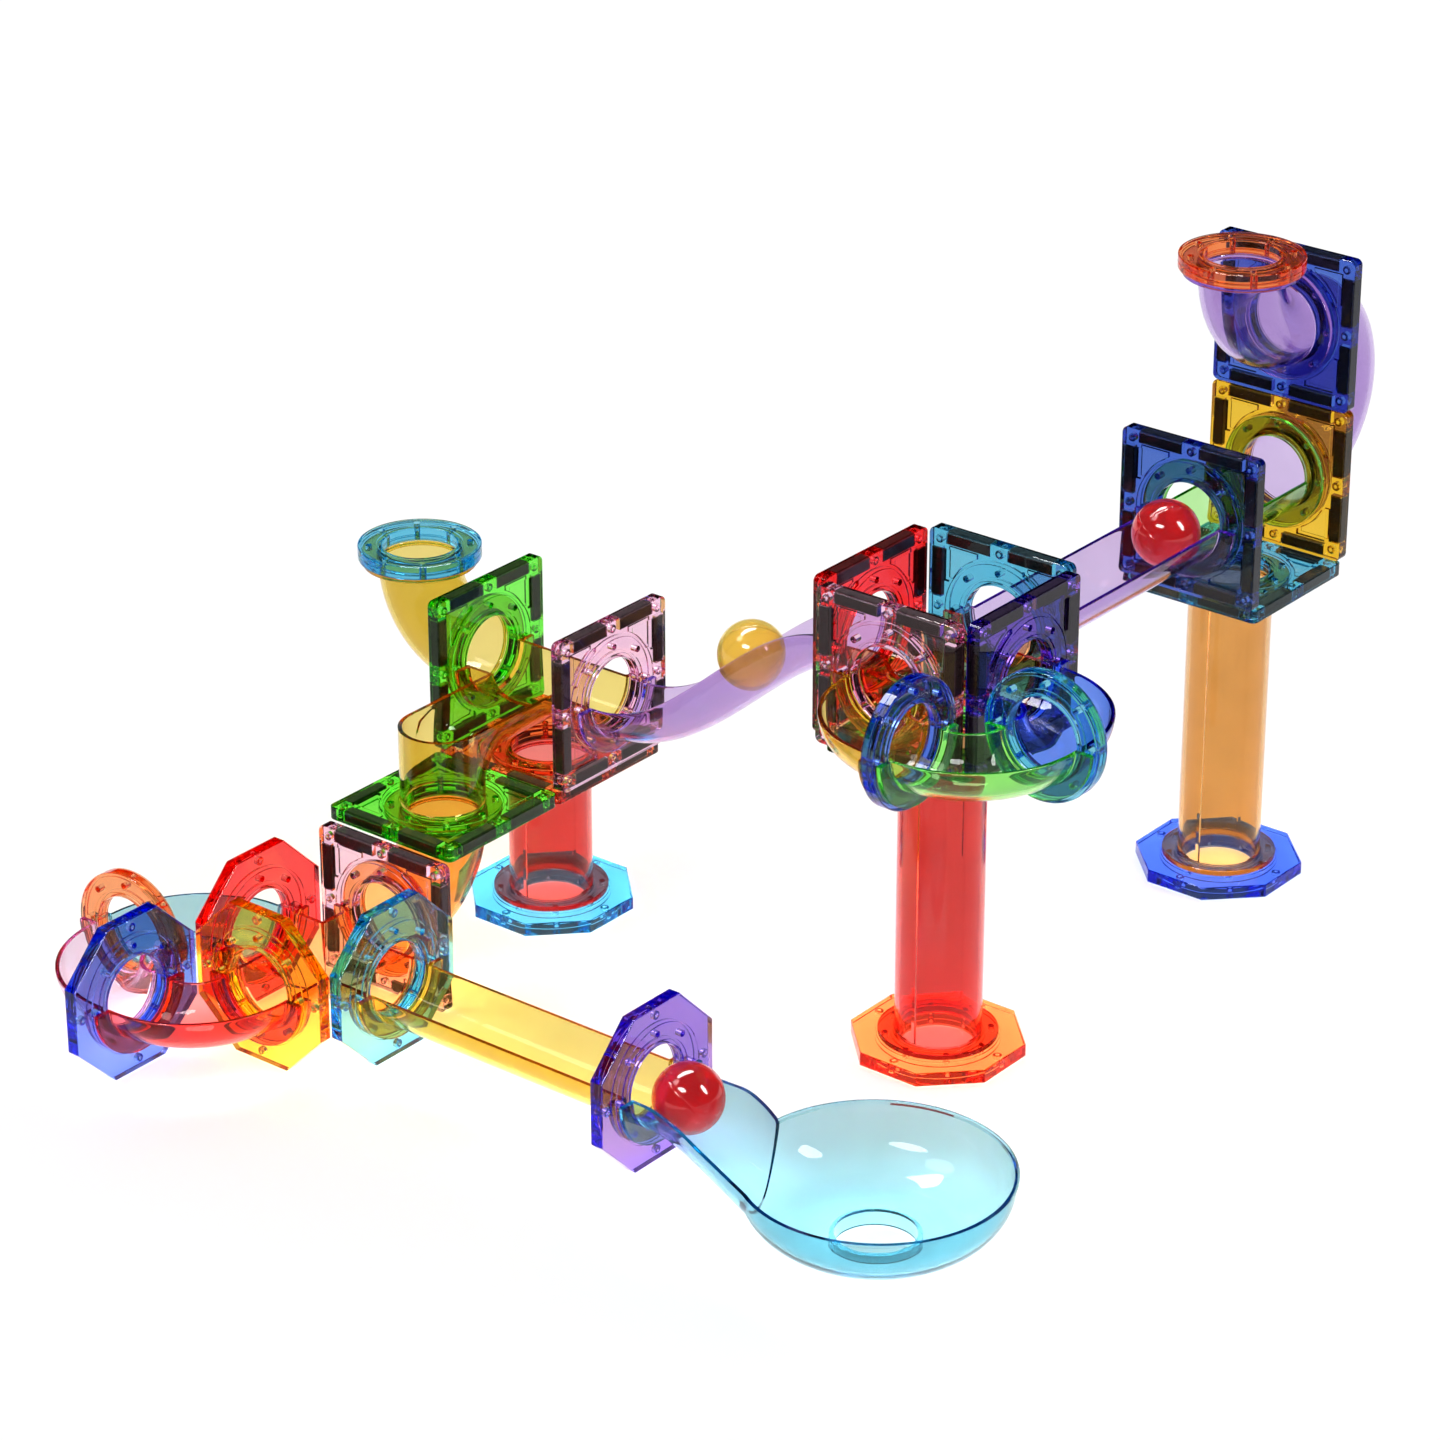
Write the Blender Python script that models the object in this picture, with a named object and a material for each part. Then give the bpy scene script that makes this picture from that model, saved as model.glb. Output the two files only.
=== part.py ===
"""Marble run of magnetic tiles, octagon bases, poles, tubes, open tracks and a catch basin.

Every plate (square tile, octagon or ring) has the same thickness and the same ball bore. Tracks and
tubes end in flanges that sit against a plate, so everything lies on a grid of two lengths: PITCH, from
one tile to the next, and STEP, from a tile to one that meets it at a right angle.

Metres, +Z up. Places are worked out from the centre of the tile cube, with the floor at z = 0, and
everything is then moved so that the origin is on the floor below the middle of the whole set.
"""

import math

import bmesh
import bpy
from mathutils import Matrix, Vector
from mathutils.geometry import tessellate_polygon

# Driving dimensions
PITCH = 0.075  # spacing of the tile grid; also an octagon's width across flats
GAP = 0.0003  # clearance that touching pieces keep
PLATE = 0.0066  # thickness of every tile, octagon and ring
BORE = 0.0178  # inner radius of every bore, tube and track
WALL = 0.002  # wall of a tube, a track and the basin
FLANGE = 0.0273  # outer radius of a track's or tube's flange
FLANGE_DEPTH = 0.0025
RING = 0.0294  # outer radius of a loose ring and of a tile's ring boss
BALL = 0.016
BASIN_RIM = 0.0595
BASIN_OFFSET = 0.1208  # from the basin's octagon to the centre of its bowl
BOWL_DEPTH = 0.031
BOWL_FLAT = 0.0235  # radius of the nearly flat floor around the hole
BOWL_EDGE = 0.004  # height of the bowl's upright edge
BOWL_FALL = 0.0003  # how far the nearly flat floor falls on its way to the hole

# Derived sizes
TILE = PITCH - GAP
STEP = (TILE + PLATE) / 2 + GAP
TUBE = BORE + WALL
SEAT = PLATE / 2 + GAP  # from a plate's middle to a flange's face
BEND_START = SEAT + FLANGE_DEPTH
BEND = STEP - BEND_START  # centre-line radius of a quarter turn

# Details of a tile
CORNER = 0.003
FRAME = 0.0085  # width of the frame around the thinner panel
POCKET_DEPTH = 0.0014
POCKET_START = math.asin(0.45)  # angle on the ring boss at which a corner pocket starts
PEG_CIRCLE = 0.024  # radius of the circle that the peg holes are on
PEG_HOLE = 0.0016
PEG_HOLES = 8

# The spout's cross-sections: how far along its near edge is and how far out from a half-pipe's, the
# same for its far edge, and how much deeper than a half-pipe it is. The last is inside the bowl.
SPOUT_START = SEAT + FLANGE_DEPTH / 2
SPOUT = (
    (0.0150, 0.0007, 0.0120, 0.0, 0.0),
    (0.0320, 0.0058, 0.0246, 0.0, 0.0006),
    (0.0520, 0.0145, 0.0371, 0.0, 0.0014),
    (0.0760, 0.0249, 0.0505, -0.0050, 0.0022),
    (0.0990, 0.0348, 0.0640, -0.0125, 0.0030),
)

# Facets
ROUND = 20  # in a full circle
FINE_ROUND = 28
BOWL_STEPS = 5
SPOUT_STEPS = 10
CURVE_STEPS = 6
ELBOW_STEPS = 8
HALF_BEND_STEPS = 6
WAVE_STEPS = 14

# Heights of the track axes
LOW = PITCH / 2
MIDDLE = LOW + 2 * STEP
HIGH = MIDDLE + PITCH
TOP = HIGH + PITCH

# Places in plan
CATCH_X = -(STEP + 2.5 * PITCH)  # centre of the left-hand catcher
CROSS_Y = -(PITCH + 2 * STEP)  # centre of the lower crossing
FRONT_Y = STEP + 2 * PITCH  # the blue tile that the high slide leaves from
BACK_Y = FRONT_Y + PITCH  # the two tiles stacked at the back
POLE_Y = FRONT_Y + PITCH / 2
BASIN_X = CATCH_X + STEP + 2 * PITCH  # the octagon that the basin's spout leaves from

# Middle of the whole set in plan: halfway between its outermost pieces along X and along Y
MIDDLE_X = (CATCH_X - 2 * STEP - RING + BASIN_X + BASIN_OFFSET + BASIN_RIM) / 2
MIDDLE_Y = (CROSS_Y - 2 * STEP - PITCH / 2 + BACK_Y + BEND_START + PITCH / 2 + TUBE) / 2
TO_ORIGIN = Matrix.Translation((-MIDDLE_X, -MIDDLE_Y, 0))

# Where the balls lie
BALL_MARGIN = 0.0005  # from a flange's face to a ball that has just come through the plate
BALL_ON_WAVE = 0.44  # share of the wave's slope that the yellow ball has run down

# Colours of the clear plastics, as linear red, green, blue
COLOURS = {
    "blue": (0.02, 0.09, 0.62),
    "cyan": (0.03, 0.52, 0.72),
    "green": (0.06, 0.62, 0.04),
    "yellow": (0.90, 0.55, 0.02),
    "orange": (0.95, 0.26, 0.02),
    "red": (0.80, 0.02, 0.02),
    "pink": (0.88, 0.42, 0.60),
    "purple": (0.14, 0.06, 0.55),
    "lilac": (0.58, 0.36, 0.86),
    "aqua": (0.30, 0.74, 0.84),
    "clear_orange": (0.92, 0.52, 0.20),
    "ball_red": (0.62, 0.01, 0.02),
    "ball_yellow": (0.90, 0.62, 0.10),
}
ALPHA = 0.6
PLASTIC_ROUGHNESS = 0.08

# Rotations that turn a plate's local +Z towards a world axis
FACING = {
    "x": Matrix.Rotation(math.radians(90), 4, "Y"),
    "y": Matrix.Rotation(math.radians(-90), 4, "X"),
    "z": Matrix.Identity(4),
}
# Headings of a track whose local +Y points along a world axis
HEADING = {"+y": 0, "-x": 90, "-y": 180, "+x": -90}


def clear_scene():
    for obj in list(bpy.data.objects):
        bpy.data.objects.remove(obj, do_unlink=True)


def plastic(name, colour):
    """A clear plastic in one of the set's colours."""
    material = bpy.data.materials.new(name)
    material.use_nodes = True
    shader = material.node_tree.nodes["Principled BSDF"]
    shader.inputs["Base Color"].default_value = (*COLOURS[colour], 1)
    shader.inputs["Roughness"].default_value = PLASTIC_ROUGHNESS
    shader.inputs["Metallic"].default_value = 0
    shader.inputs["Alpha"].default_value = ALPHA
    material.diffuse_color = (*COLOURS[colour], 1)
    return material


def add_object(name, bm, place):
    """Turns a bmesh into an object at this place, with its round faces shaded smooth."""
    bmesh.ops.recalc_face_normals(bm, faces=bm.faces[:])
    mesh = bpy.data.meshes.new(name)
    bm.to_mesh(mesh)
    bm.free()
    mesh.polygons.foreach_set("use_smooth", [True] * len(mesh.polygons))
    mesh.set_sharp_from_angle(angle=math.radians(35))
    obj = bpy.data.objects.new(name, mesh)
    bpy.context.scene.collection.objects.link(obj)
    obj.matrix_world = TO_ORIGIN @ place
    return obj


def add_piece(name, colour, bm, place):
    obj = add_object(name, bm, place)
    obj.data.materials.append(plastic(name, colour))
    return obj


def add_helper(name, bm, place):
    """A solid that only a Boolean uses."""
    obj = add_object(name, bm, place)
    obj.hide_render = True
    obj.display_type = "WIRE"
    return obj


def combine(obj, operation, helper):
    modifier = obj.modifiers.new(helper.name, "BOOLEAN")
    modifier.operation = operation
    modifier.object = helper


def heading(direction, x, y, z):
    """Place of a track that starts at a plate's middle and leaves in this direction."""
    turn = Matrix.Rotation(math.radians(HEADING[direction]), 4, "Z")
    return Matrix.Translation((x, y, z)) @ turn


def facing(axis, x, y, z):
    return Matrix.Translation((x, y, z)) @ FACING[axis]


# Outlines


def circle(radius, count, centre=(0, 0), turned=0):
    """Points of a circle, anticlockwise, turned by a part of one step."""
    turns = [2 * math.pi * (step + turned) / count for step in range(count)]
    return [(centre[0] + radius * math.cos(t), centre[1] + radius * math.sin(t)) for t in turns]


def peg_holes():
    for turn in range(PEG_HOLES):
        angle = 2 * math.pi * turn / PEG_HOLES
        centre = (PEG_CIRCLE * math.cos(angle), PEG_CIRCLE * math.sin(angle))
        yield circle(PEG_HOLE, 6, centre)


def rounded_square(width, corner, steps):
    """Points of a square with round corners, each drawn as this many chords."""
    points = []
    reach = width / 2 - corner
    for quarter in range(4):
        for step in range(steps + 1):
            angle = math.radians(90 * (quarter + step / steps))
            middle = math.radians(90 * quarter + 45)
            x = math.copysign(reach, math.cos(middle)) + corner * math.cos(angle)
            y = math.copysign(reach, math.sin(middle)) + corner * math.sin(angle)
            points.append((x, y))
    return points


def corner_pocket(quarter):
    """The recess between a tile's frame and its ring boss in one corner."""
    reach = TILE / 2 - FRAME
    angles = [POCKET_START + (math.pi / 2 - 2 * POCKET_START) * step / 3 for step in range(4)]
    arc = [(RING * math.cos(a), RING * math.sin(a)) for a in reversed(angles)]
    inner = [(reach, arc[-1][1]), (reach, reach), (arc[0][0], reach)]
    turn = Matrix.Rotation(math.radians(90 * quarter), 2)
    return [tuple(turn @ Vector(point)) for point in arc + inner]


# Plates


def ring_of_vertices(bm, outline, height):
    return [bm.verts.new((x, y, height)) for x, y in outline]


def wall(bm, lower, upper):
    """Joins two rings of vertices with quads."""
    for index, vertex in enumerate(lower):
        after = (index + 1) % len(lower)
        bm.faces.new((vertex, lower[after], upper[after], upper[index]))


def cap(bm, rings):
    """Fills the area inside the first ring and outside the others."""
    vertices = [vertex for ring in rings for vertex in ring]
    for triangle in tessellate_polygon([[vertex.co for vertex in ring] for ring in rings]):
        bm.faces.new([vertices[index] for index in triangle])


def plate_mesh(outline, pockets=()):
    """A plate with a ball bore, peg holes, and pockets sunk into both of its faces."""
    bm = bmesh.new()
    through = [outline, circle(BORE, ROUND), *peg_holes()]
    sides = {}
    for side in (-1, 1):
        height = side * PLATE / 2
        sides[side] = [ring_of_vertices(bm, points, height) for points in through]
        mouths = [ring_of_vertices(bm, points, height) for points in pockets]
        cap(bm, sides[side] + mouths)
        for points, mouth in zip(pockets, mouths):
            sunk = ring_of_vertices(bm, points, height - side * POCKET_DEPTH)
            wall(bm, mouth, sunk)
            cap(bm, [sunk])
    for lower, upper in zip(sides[-1], sides[1]):
        wall(bm, lower, upper)
    return bm


def tile_mesh():
    pockets = [corner_pocket(quarter) for quarter in range(4)]
    return plate_mesh(rounded_square(TILE, CORNER, 2), pockets)


def octagon_mesh():
    across_corners = PITCH / 2 / math.cos(math.pi / 8)
    turn = Matrix.Rotation(math.pi / 8, 2)
    return plate_mesh([tuple(turn @ Vector(point)) for point in circle(across_corners, 8)])


def ring_mesh():
    return plate_mesh(circle(RING, FINE_ROUND))


# Tracks and tubes. A frame's columns are a track's right, forward and up, and its centre.


def ahead(frame, distance):
    return Matrix.Translation(frame.col[1].xyz * distance) @ frame


def bend(frame, axis, radius, degrees, steps):
    """Frames along an arc that turns about this axis; the first frame given isn't among them."""
    axis = Vector(axis)
    pivot = frame.translation + radius * axis.cross(frame.col[1].xyz)
    out = Matrix.Translation(pivot)
    turns = [math.radians(degrees * (step + 1) / steps) for step in range(steps)]
    return [out @ Matrix.Rotation(turn, 4, axis) @ out.inverted() @ frame for turn in turns]


def swept_solid(frames, angles, radii, filled):
    """The closed skin of the filled cells in a grid that runs along frames, round angles and out radii.

    filled(i, j, k) says whether there is material after frame i, angle j and radius k. Angles that end
    one full turn after they start close on themselves.
    """
    bm = bmesh.new()
    counts = (len(frames) - 1, len(angles) - 1, len(radii) - 1)
    closed = math.isclose(angles[-1] - angles[0], 2 * math.pi)
    vertices = {}

    def solid(cell):
        i, j, k = cell
        if closed:
            j %= counts[1]
        inside = all(0 <= value < count for value, count in zip((i, j, k), counts))
        return inside and filled(i, j, k)

    def vertex(i, j, k):
        if closed:
            j %= counts[1]
        if (i, j, k) not in vertices:
            local = Vector((math.cos(angles[j]), 0, math.sin(angles[j]))) * radii[k]
            vertices[i, j, k] = bm.verts.new(frames[i] @ local)
        return vertices[i, j, k]

    for cell in [(i, j, k) for i in range(counts[0]) for j in range(counts[1]) for k in range(counts[2])]:
        if not solid(cell):
            continue
        for direction in range(3):
            for side in (0, 1):
                beyond = list(cell)
                beyond[direction] += 2 * side - 1
                if solid(beyond):
                    continue
                corners = []
                for first, second in ((0, 0), (1, 0), (1, 1), (0, 1)):
                    corner = list(cell)
                    corner[direction] += side
                    corner[(direction + 1) % 3] += first
                    corner[(direction + 2) % 3] += second
                    corners.append(vertex(*corner))
                bm.faces.new(corners)
    return bm


def arc_angles(start, end):
    """Angles from start to end in degrees, at the facets of a full circle."""
    count = round(ROUND * (end - start) / 360)
    return [math.radians(start + (end - start) * step / count) for step in range(count + 1)]


def track_mesh(frames, full_rings=False):
    """An open half-pipe with a flange at each end, half as high as a ring or a full ring."""
    last = len(frames) - 2
    angles = arc_angles(-180, 180 if full_rings else 0)

    def filled(i, j, k):
        at_end = i in (0, last)
        in_lower_half = angles[j] < -1e-6
        return at_end or (in_lower_half and k == 0)

    return swept_solid(frames, angles, (BORE, TUBE, FLANGE), filled)


def tube_mesh(frames, flanged_end=True):
    """A round tube with a full flange at its start, and at its end too unless that is left plain."""
    flanges = (0, len(frames) - 2) if flanged_end else (0,)
    radii = (BORE, TUBE, FLANGE)
    return swept_solid(frames, arc_angles(-180, 180), radii, lambda i, j, k: k == 0 or i in flanges)


def with_flanges(middle, start, end):
    """Frames from a start and an end frame, which are on flange faces, and what lies between."""
    return [start, ahead(start, FLANGE_DEPTH), *middle, ahead(end, -FLANGE_DEPTH), end]


def straight_frames(length):
    """From one plate's middle to another's, along +Y."""
    start = ahead(Matrix.Identity(4), SEAT)
    return with_flanges([], start, ahead(start, length - 2 * SEAT))


def quarter_turn_frames(frame, axis, steps=CURVE_STEPS):
    """From a plate's middle, through a quarter turn, to the middle of a plate at right angles."""
    start = ahead(frame, SEAT)
    arc = bend(ahead(start, FLANGE_DEPTH), axis, BEND, 90, steps)
    return with_flanges(arc[:-1], start, ahead(arc[-1], FLANGE_DEPTH))


def curve_frames():
    """A level track that leaves along +Y and turns left."""
    return quarter_turn_frames(Matrix.Identity(4), (0, 0, 1))


def elbow_frames():
    """A tube that goes down and then turns to +Y."""
    downward = Matrix.Rotation(math.radians(-90), 4, "X")
    return quarter_turn_frames(downward, (1, 0, 0), ELBOW_STEPS)


def half_bend_frames(axis):
    """Half of a bend between two stacked tiles: it leaves along +Y and stops just short of the other half."""
    start = ahead(Matrix.Identity(4), SEAT)
    root = ahead(start, FLANGE_DEPTH)
    turn = 90 - math.degrees(GAP / PITCH)
    return [start, root, *bend(root, axis, PITCH / 2, turn, HALF_BEND_STEPS)]


def wave_frame(share):
    """The frame at this share of the way down the wave's slope, which is half a cosine."""
    run = 2 * (PITCH - BEND_START)
    phase = math.pi * share
    slope = -PITCH / 2 * math.pi / run * math.sin(phase)
    centre = (0, BEND_START + run * share, PITCH / 2 * (math.cos(phase) - 1))
    return Matrix.Translation(centre) @ Matrix.Rotation(math.atan(slope), 4, "X")


def wave_frames(steps=WAVE_STEPS):
    """A track along +Y that drops one PITCH over two in an S of two level ends."""
    start = ahead(Matrix.Identity(4), SEAT)
    end = Matrix.Translation((0, 2 * PITCH - SEAT, -PITCH))
    return with_flanges([wave_frame(step / steps) for step in range(1, steps)], start, end)


# Crossings and the catcher are joined from half-round channels.


def channel_solid(start, end, flanges):
    """A filled half-round from y = start to y = end, with a half flange at each y in flanges."""
    stops = sorted({start, end, *(y + side * FLANGE_DEPTH for y in flanges for side in (-1, 1))})
    stops = [y for y in stops if start <= y <= end]
    frames = [Matrix.Translation((0, y, 0)) for y in stops]

    def filled(i, j, k):
        middle = (stops[i] + stops[i + 1]) / 2
        return k == 0 or any(abs(middle - y) < FLANGE_DEPTH for y in flanges)

    bm = swept_solid(frames, arc_angles(-180, 0), (0, TUBE, FLANGE), filled)
    bmesh.ops.remove_doubles(bm, verts=bm.verts[:], dist=1e-7)
    return bm


def cylinder_mesh(radius, bottom, top, turned=0):
    """A cylinder along Z."""
    bm = bmesh.new()
    outline = circle(radius, ROUND, turned=turned)
    lower = ring_of_vertices(bm, outline, bottom)
    upper = ring_of_vertices(bm, outline, top)
    wall(bm, lower, upper)
    bm.faces.new(lower)
    bm.faces.new(upper)
    return bm


def bore_cutter(name, direction, place, start, end):
    """A cylinder that hollows out a channel from start to end along its direction."""
    lie_down = Matrix.Rotation(math.radians(-90), 4, "X")
    turn = Matrix.Rotation(math.radians(HEADING[direction]), 4, "Z")
    return add_helper(name, cylinder_mesh(BORE, start, end), place @ turn @ lie_down)


def add_crossing(name, colour, place):
    """Four channels that meet, each ending in a half flange on the inside of a plate."""
    reach = STEP - SEAT
    arm = channel_solid(-reach, reach, (-reach, reach))
    crossing = add_piece(name, colour, arm, place)
    turn = Matrix.Rotation(math.radians(90), 4, "Z")
    other = add_helper(name + "_arm", channel_solid(-reach, reach, (-reach, reach)), place @ turn)
    combine(crossing, "UNION", other)
    over = reach + FLANGE_DEPTH
    combine(crossing, "DIFFERENCE", bore_cutter(name + "_bore_1", "+y", place, -over, over))
    combine(crossing, "DIFFERENCE", bore_cutter(name + "_bore_2", "+x", place, -over, over))
    return crossing


def add_catcher(name, colour, place):
    """A channel along X with a branch to -Y, where a cup drops the ball through the tile below."""
    reach = PITCH / 2 - SEAT
    drop = STEP - SEAT
    turn = Matrix.Rotation(math.radians(90), 4, "Z")
    catcher = add_piece(name, colour, channel_solid(-reach, reach, (-reach, reach)), place @ turn)
    branch = add_helper(name + "_branch", channel_solid(-PITCH, 0, ()), place)
    cup_place = place @ Matrix.Translation((0, -PITCH, 0))
    # The cup's facets are turned half a step, so that its edges don't run along the branch's.
    cup = add_helper(name + "_cup", cylinder_mesh(TUBE, -drop, 0, 0.5), cup_place)
    for helper in (branch, cup):
        combine(catcher, "UNION", helper)
    over = reach + FLANGE_DEPTH
    through = cylinder_mesh(BORE, -drop - WALL, TUBE, 0.5)
    combine(catcher, "DIFFERENCE", bore_cutter(name + "_bore_1", "+x", place, -over, over))
    combine(catcher, "DIFFERENCE", bore_cutter(name + "_bore_2", "-y", place, 0, PITCH))
    combine(catcher, "DIFFERENCE", add_helper(name + "_drop", through, cup_place))
    return catcher


# The basin


def lathe(profile):
    """Turns a profile of (radius, height) points, which starts and ends on the axis, into a solid."""
    bm = bmesh.new()
    rings = []
    for radius, height in profile:
        if radius:
            rings.append(ring_of_vertices(bm, circle(radius, FINE_ROUND), height))
        else:
            rings.append([bm.verts.new((0, 0, height))])
    for lower, upper in zip(rings, rings[1:]):
        if len(lower) > 1 and len(upper) > 1:
            wall(bm, lower, upper)
            continue
        tip, rim = sorted((lower, upper), key=len)
        for index, vertex in enumerate(rim):
            bm.faces.new((vertex, rim[(index + 1) % len(rim)], tip[0]))
    return bm


def bowl_profile(offset, foot, top):
    """Half section of the bowl, offset inwards from its outside, down to the foot around its hole."""
    hole = TUBE - offset
    curve = []
    for step in range(BOWL_STEPS + 1):
        angle = math.radians(90 * step / BOWL_STEPS)
        radius = BOWL_FLAT + (BASIN_RIM - BOWL_FLAT - offset) * math.sin(angle)
        height = -BOWL_EDGE - (BOWL_DEPTH - BOWL_EDGE - offset) * math.cos(angle)
        curve.append((radius, height))
    start = [(0, foot), (hole, foot), (hole, curve[0][1] - BOWL_FALL)]
    return [*start, *curve, (curve[-1][0], top), (0, top)]


def spout_section(near, far, depth, top):
    """Outline of the spout between its two edges, from the far edge down and round to the near one."""
    near, far = Vector(near), Vector(far)
    middle, half = (near + far) / 2, (near - far) / 2
    points = [Vector((*far, top))]
    for step in range(SPOUT_STEPS + 1):
        angle = math.pi * step / SPOUT_STEPS
        point = middle - half * math.cos(angle)
        points.append(Vector((*point, -depth * math.sin(angle))))
    points.append(Vector((*near, top)))
    return points


def loft(sections):
    """A solid through sections with the same number of points, closed at both ends."""
    bm = bmesh.new()
    rings = [[bm.verts.new(point) for point in section] for section in sections]
    for lower, upper in zip(rings, rings[1:]):
        wall(bm, lower, upper)
    bm.faces.new(rings[0])
    bm.faces.new(rings[-1])
    # The sides aren't flat, and a Boolean needs flat faces.
    bmesh.ops.triangulate(bm, faces=bm.faces[:])
    return bm


def spout_mesh(offset, start, top):
    """The spout as a solid, offset inwards from its outside; it starts at x = start.

    It leaves the octagon as a half-pipe, then widens and swings to -Y to meet the bowl on a tangent.
    """
    edge = TUBE - offset
    sections = []
    for near_along, near_out, far_along, far_out, deeper in ((start, 0, start, 0, 0), *SPOUT):
        near = (near_along, -edge - near_out)
        far = (far_along, edge + far_out)
        sections.append(spout_section(near, far, edge + deeper, top))
    return loft(sections)


def add_basin(name, colour, place):
    """A spout from the last octagon into a round bowl that stands on the collar of its hole."""
    bowl = place @ Matrix.Translation((BASIN_OFFSET, 0, 0))
    along_x = Matrix.Rotation(math.radians(90), 4, "Y")
    floor = GAP - LOW
    # Everything is made a little too high, each solid by a different amount, and cut level at the end.
    basin = add_piece(name, colour, lathe(bowl_profile(0, floor, WALL)), bowl)
    flange = cylinder_mesh(FLANGE, SEAT, SEAT + FLANGE_DEPTH, 0.5)
    for operation, suffix, bm, where in (
        ("UNION", "spout", spout_mesh(0, SPOUT_START, WALL / 2), place),
        ("UNION", "flange", flange, place @ along_x),
        ("DIFFERENCE", "hollow", lathe(bowl_profile(WALL, floor - WALL, 2 * WALL)), bowl),
        ("DIFFERENCE", "channel", spout_mesh(WALL, 0, 3 * WALL), place),
        ("DIFFERENCE", "level", cylinder_mesh(3 * PITCH, 0, PITCH), place),
    ):
        combine(basin, operation, add_helper(f"{name}_{suffix}", bm, where))
    return basin


# The set, piece by piece


def add_tiles():
    """The square magnetic tiles: a stack at the back, the cube in the middle and the left group."""
    under = STEP
    for name, colour, place in (
        ("tile_blue_top", "blue", facing("y", 0, BACK_Y, TOP)),
        ("tile_yellow_back", "yellow", facing("y", 0, BACK_Y, HIGH)),
        ("tile_blue_front", "blue", facing("y", 0, FRONT_Y, HIGH)),
        ("tile_cyan_floor", "cyan", facing("z", 0, POLE_Y, HIGH - under)),
        ("cube_tile_red", "red", facing("x", -STEP, 0, HIGH)),
        ("cube_tile_cyan", "cyan", facing("y", 0, STEP, HIGH)),
        ("cube_tile_pink", "pink", facing("y", 0, -STEP, HIGH)),
        ("cube_tile_purple", "purple", facing("x", STEP, 0, HIGH)),
        ("cube_tile_green_floor", "green", facing("z", 0, 0, HIGH - under)),
        ("tile_green_left", "green", facing("x", CATCH_X - PITCH / 2, 0, MIDDLE)),
        ("tile_pink_left", "pink", facing("x", CATCH_X + PITCH / 2, 0, MIDDLE)),
        ("tile_orange_floor", "orange", facing("z", CATCH_X, 0, MIDDLE - under)),
        ("tile_green_floor", "green", facing("z", CATCH_X, -PITCH, MIDDLE - under)),
        ("tile_pink_low", "pink", facing("y", CATCH_X, -PITCH - STEP, LOW)),
    ):
        add_piece(name, colour, tile_mesh(), place)


def add_octagons():
    """Three lie flat under the poles; five stand on edge around the lower tracks."""
    flat = PLATE / 2
    for name, colour, place in (
        ("octagon_base_blue", "blue", facing("z", 0, POLE_Y, flat)),
        ("octagon_base_orange", "orange", facing("z", 0, 0, flat)),
        ("octagon_base_cyan", "cyan", facing("z", CATCH_X, 0, flat)),
        ("octagon_cyan", "cyan", facing("x", CATCH_X + STEP, CROSS_Y, LOW)),
        ("octagon_purple", "purple", facing("x", BASIN_X, CROSS_Y, LOW)),
        ("octagon_yellow", "yellow", facing("y", CATCH_X, CROSS_Y - STEP, LOW)),
        ("octagon_red", "red", facing("x", CATCH_X - STEP, CROSS_Y, LOW)),
        ("octagon_blue", "blue", facing("x", CATCH_X - STEP, CROSS_Y - 2 * STEP, LOW)),
    ):
        add_piece(name, colour, octagon_mesh(), place)


def add_rings():
    for name, colour, place in (
        ("ring_orange_inlet", "orange", facing("z", 0, BACK_Y - STEP, TOP + STEP)),
        ("ring_cyan_inlet", "cyan", facing("z", CATCH_X - PITCH / 2 - STEP, 0, MIDDLE + STEP)),
        ("ring_blue_loop", "blue", facing("x", STEP, -2 * STEP, HIGH)),
        ("ring_cyan_loop", "cyan", facing("y", 2 * STEP, -STEP, HIGH)),
        ("ring_orange_loop", "orange", facing("y", CATCH_X - 2 * STEP, CROSS_Y - STEP, LOW)),
    ):
        add_piece(name, colour, ring_mesh(), place)


def add_poles():
    """Upright tubes between an octagon base and a floor tile."""
    upright = Matrix.Rotation(math.radians(90), 4, "X")
    for name, colour, x, y, plate_height in (
        ("pole_clear_orange", "clear_orange", 0, POLE_Y, HIGH - STEP),
        ("pole_red_long", "red", 0, 0, HIGH - STEP),
        ("pole_red_short", "red", CATCH_X, 0, MIDDLE - STEP),
    ):
        place = Matrix.Translation((x, y, PLATE / 2)) @ upright
        add_piece(name, colour, tube_mesh(straight_frames(plate_height - PLATE / 2)), place)


def add_tubes():
    """Three elbows, and a bend of two halves that leads down from the top tile to the one below."""
    left_ring = CATCH_X - PITCH / 2 - STEP
    for name, colour, frames, place in (
        ("elbow_lilac_inlet", "lilac", elbow_frames(), heading("+y", 0, BACK_Y - STEP, TOP + STEP)),
        ("elbow_yellow_inlet", "yellow", elbow_frames(), heading("+x", left_ring, 0, MIDDLE + STEP)),
        ("elbow_orange_drop", "orange", elbow_frames(), heading("-y", CATCH_X, -PITCH, MIDDLE - STEP)),
    ):
        add_piece(name, colour, tube_mesh(frames), place)
    for name, axis, height in (
        ("return_bend_lilac_upper", (-1, 0, 0), TOP),
        ("return_bend_lilac_lower", (1, 0, 0), HIGH),
    ):
        half = tube_mesh(half_bend_frames(axis), flanged_end=False)
        add_piece(name, "lilac", half, heading("+y", 0, BACK_Y, height))


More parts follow.
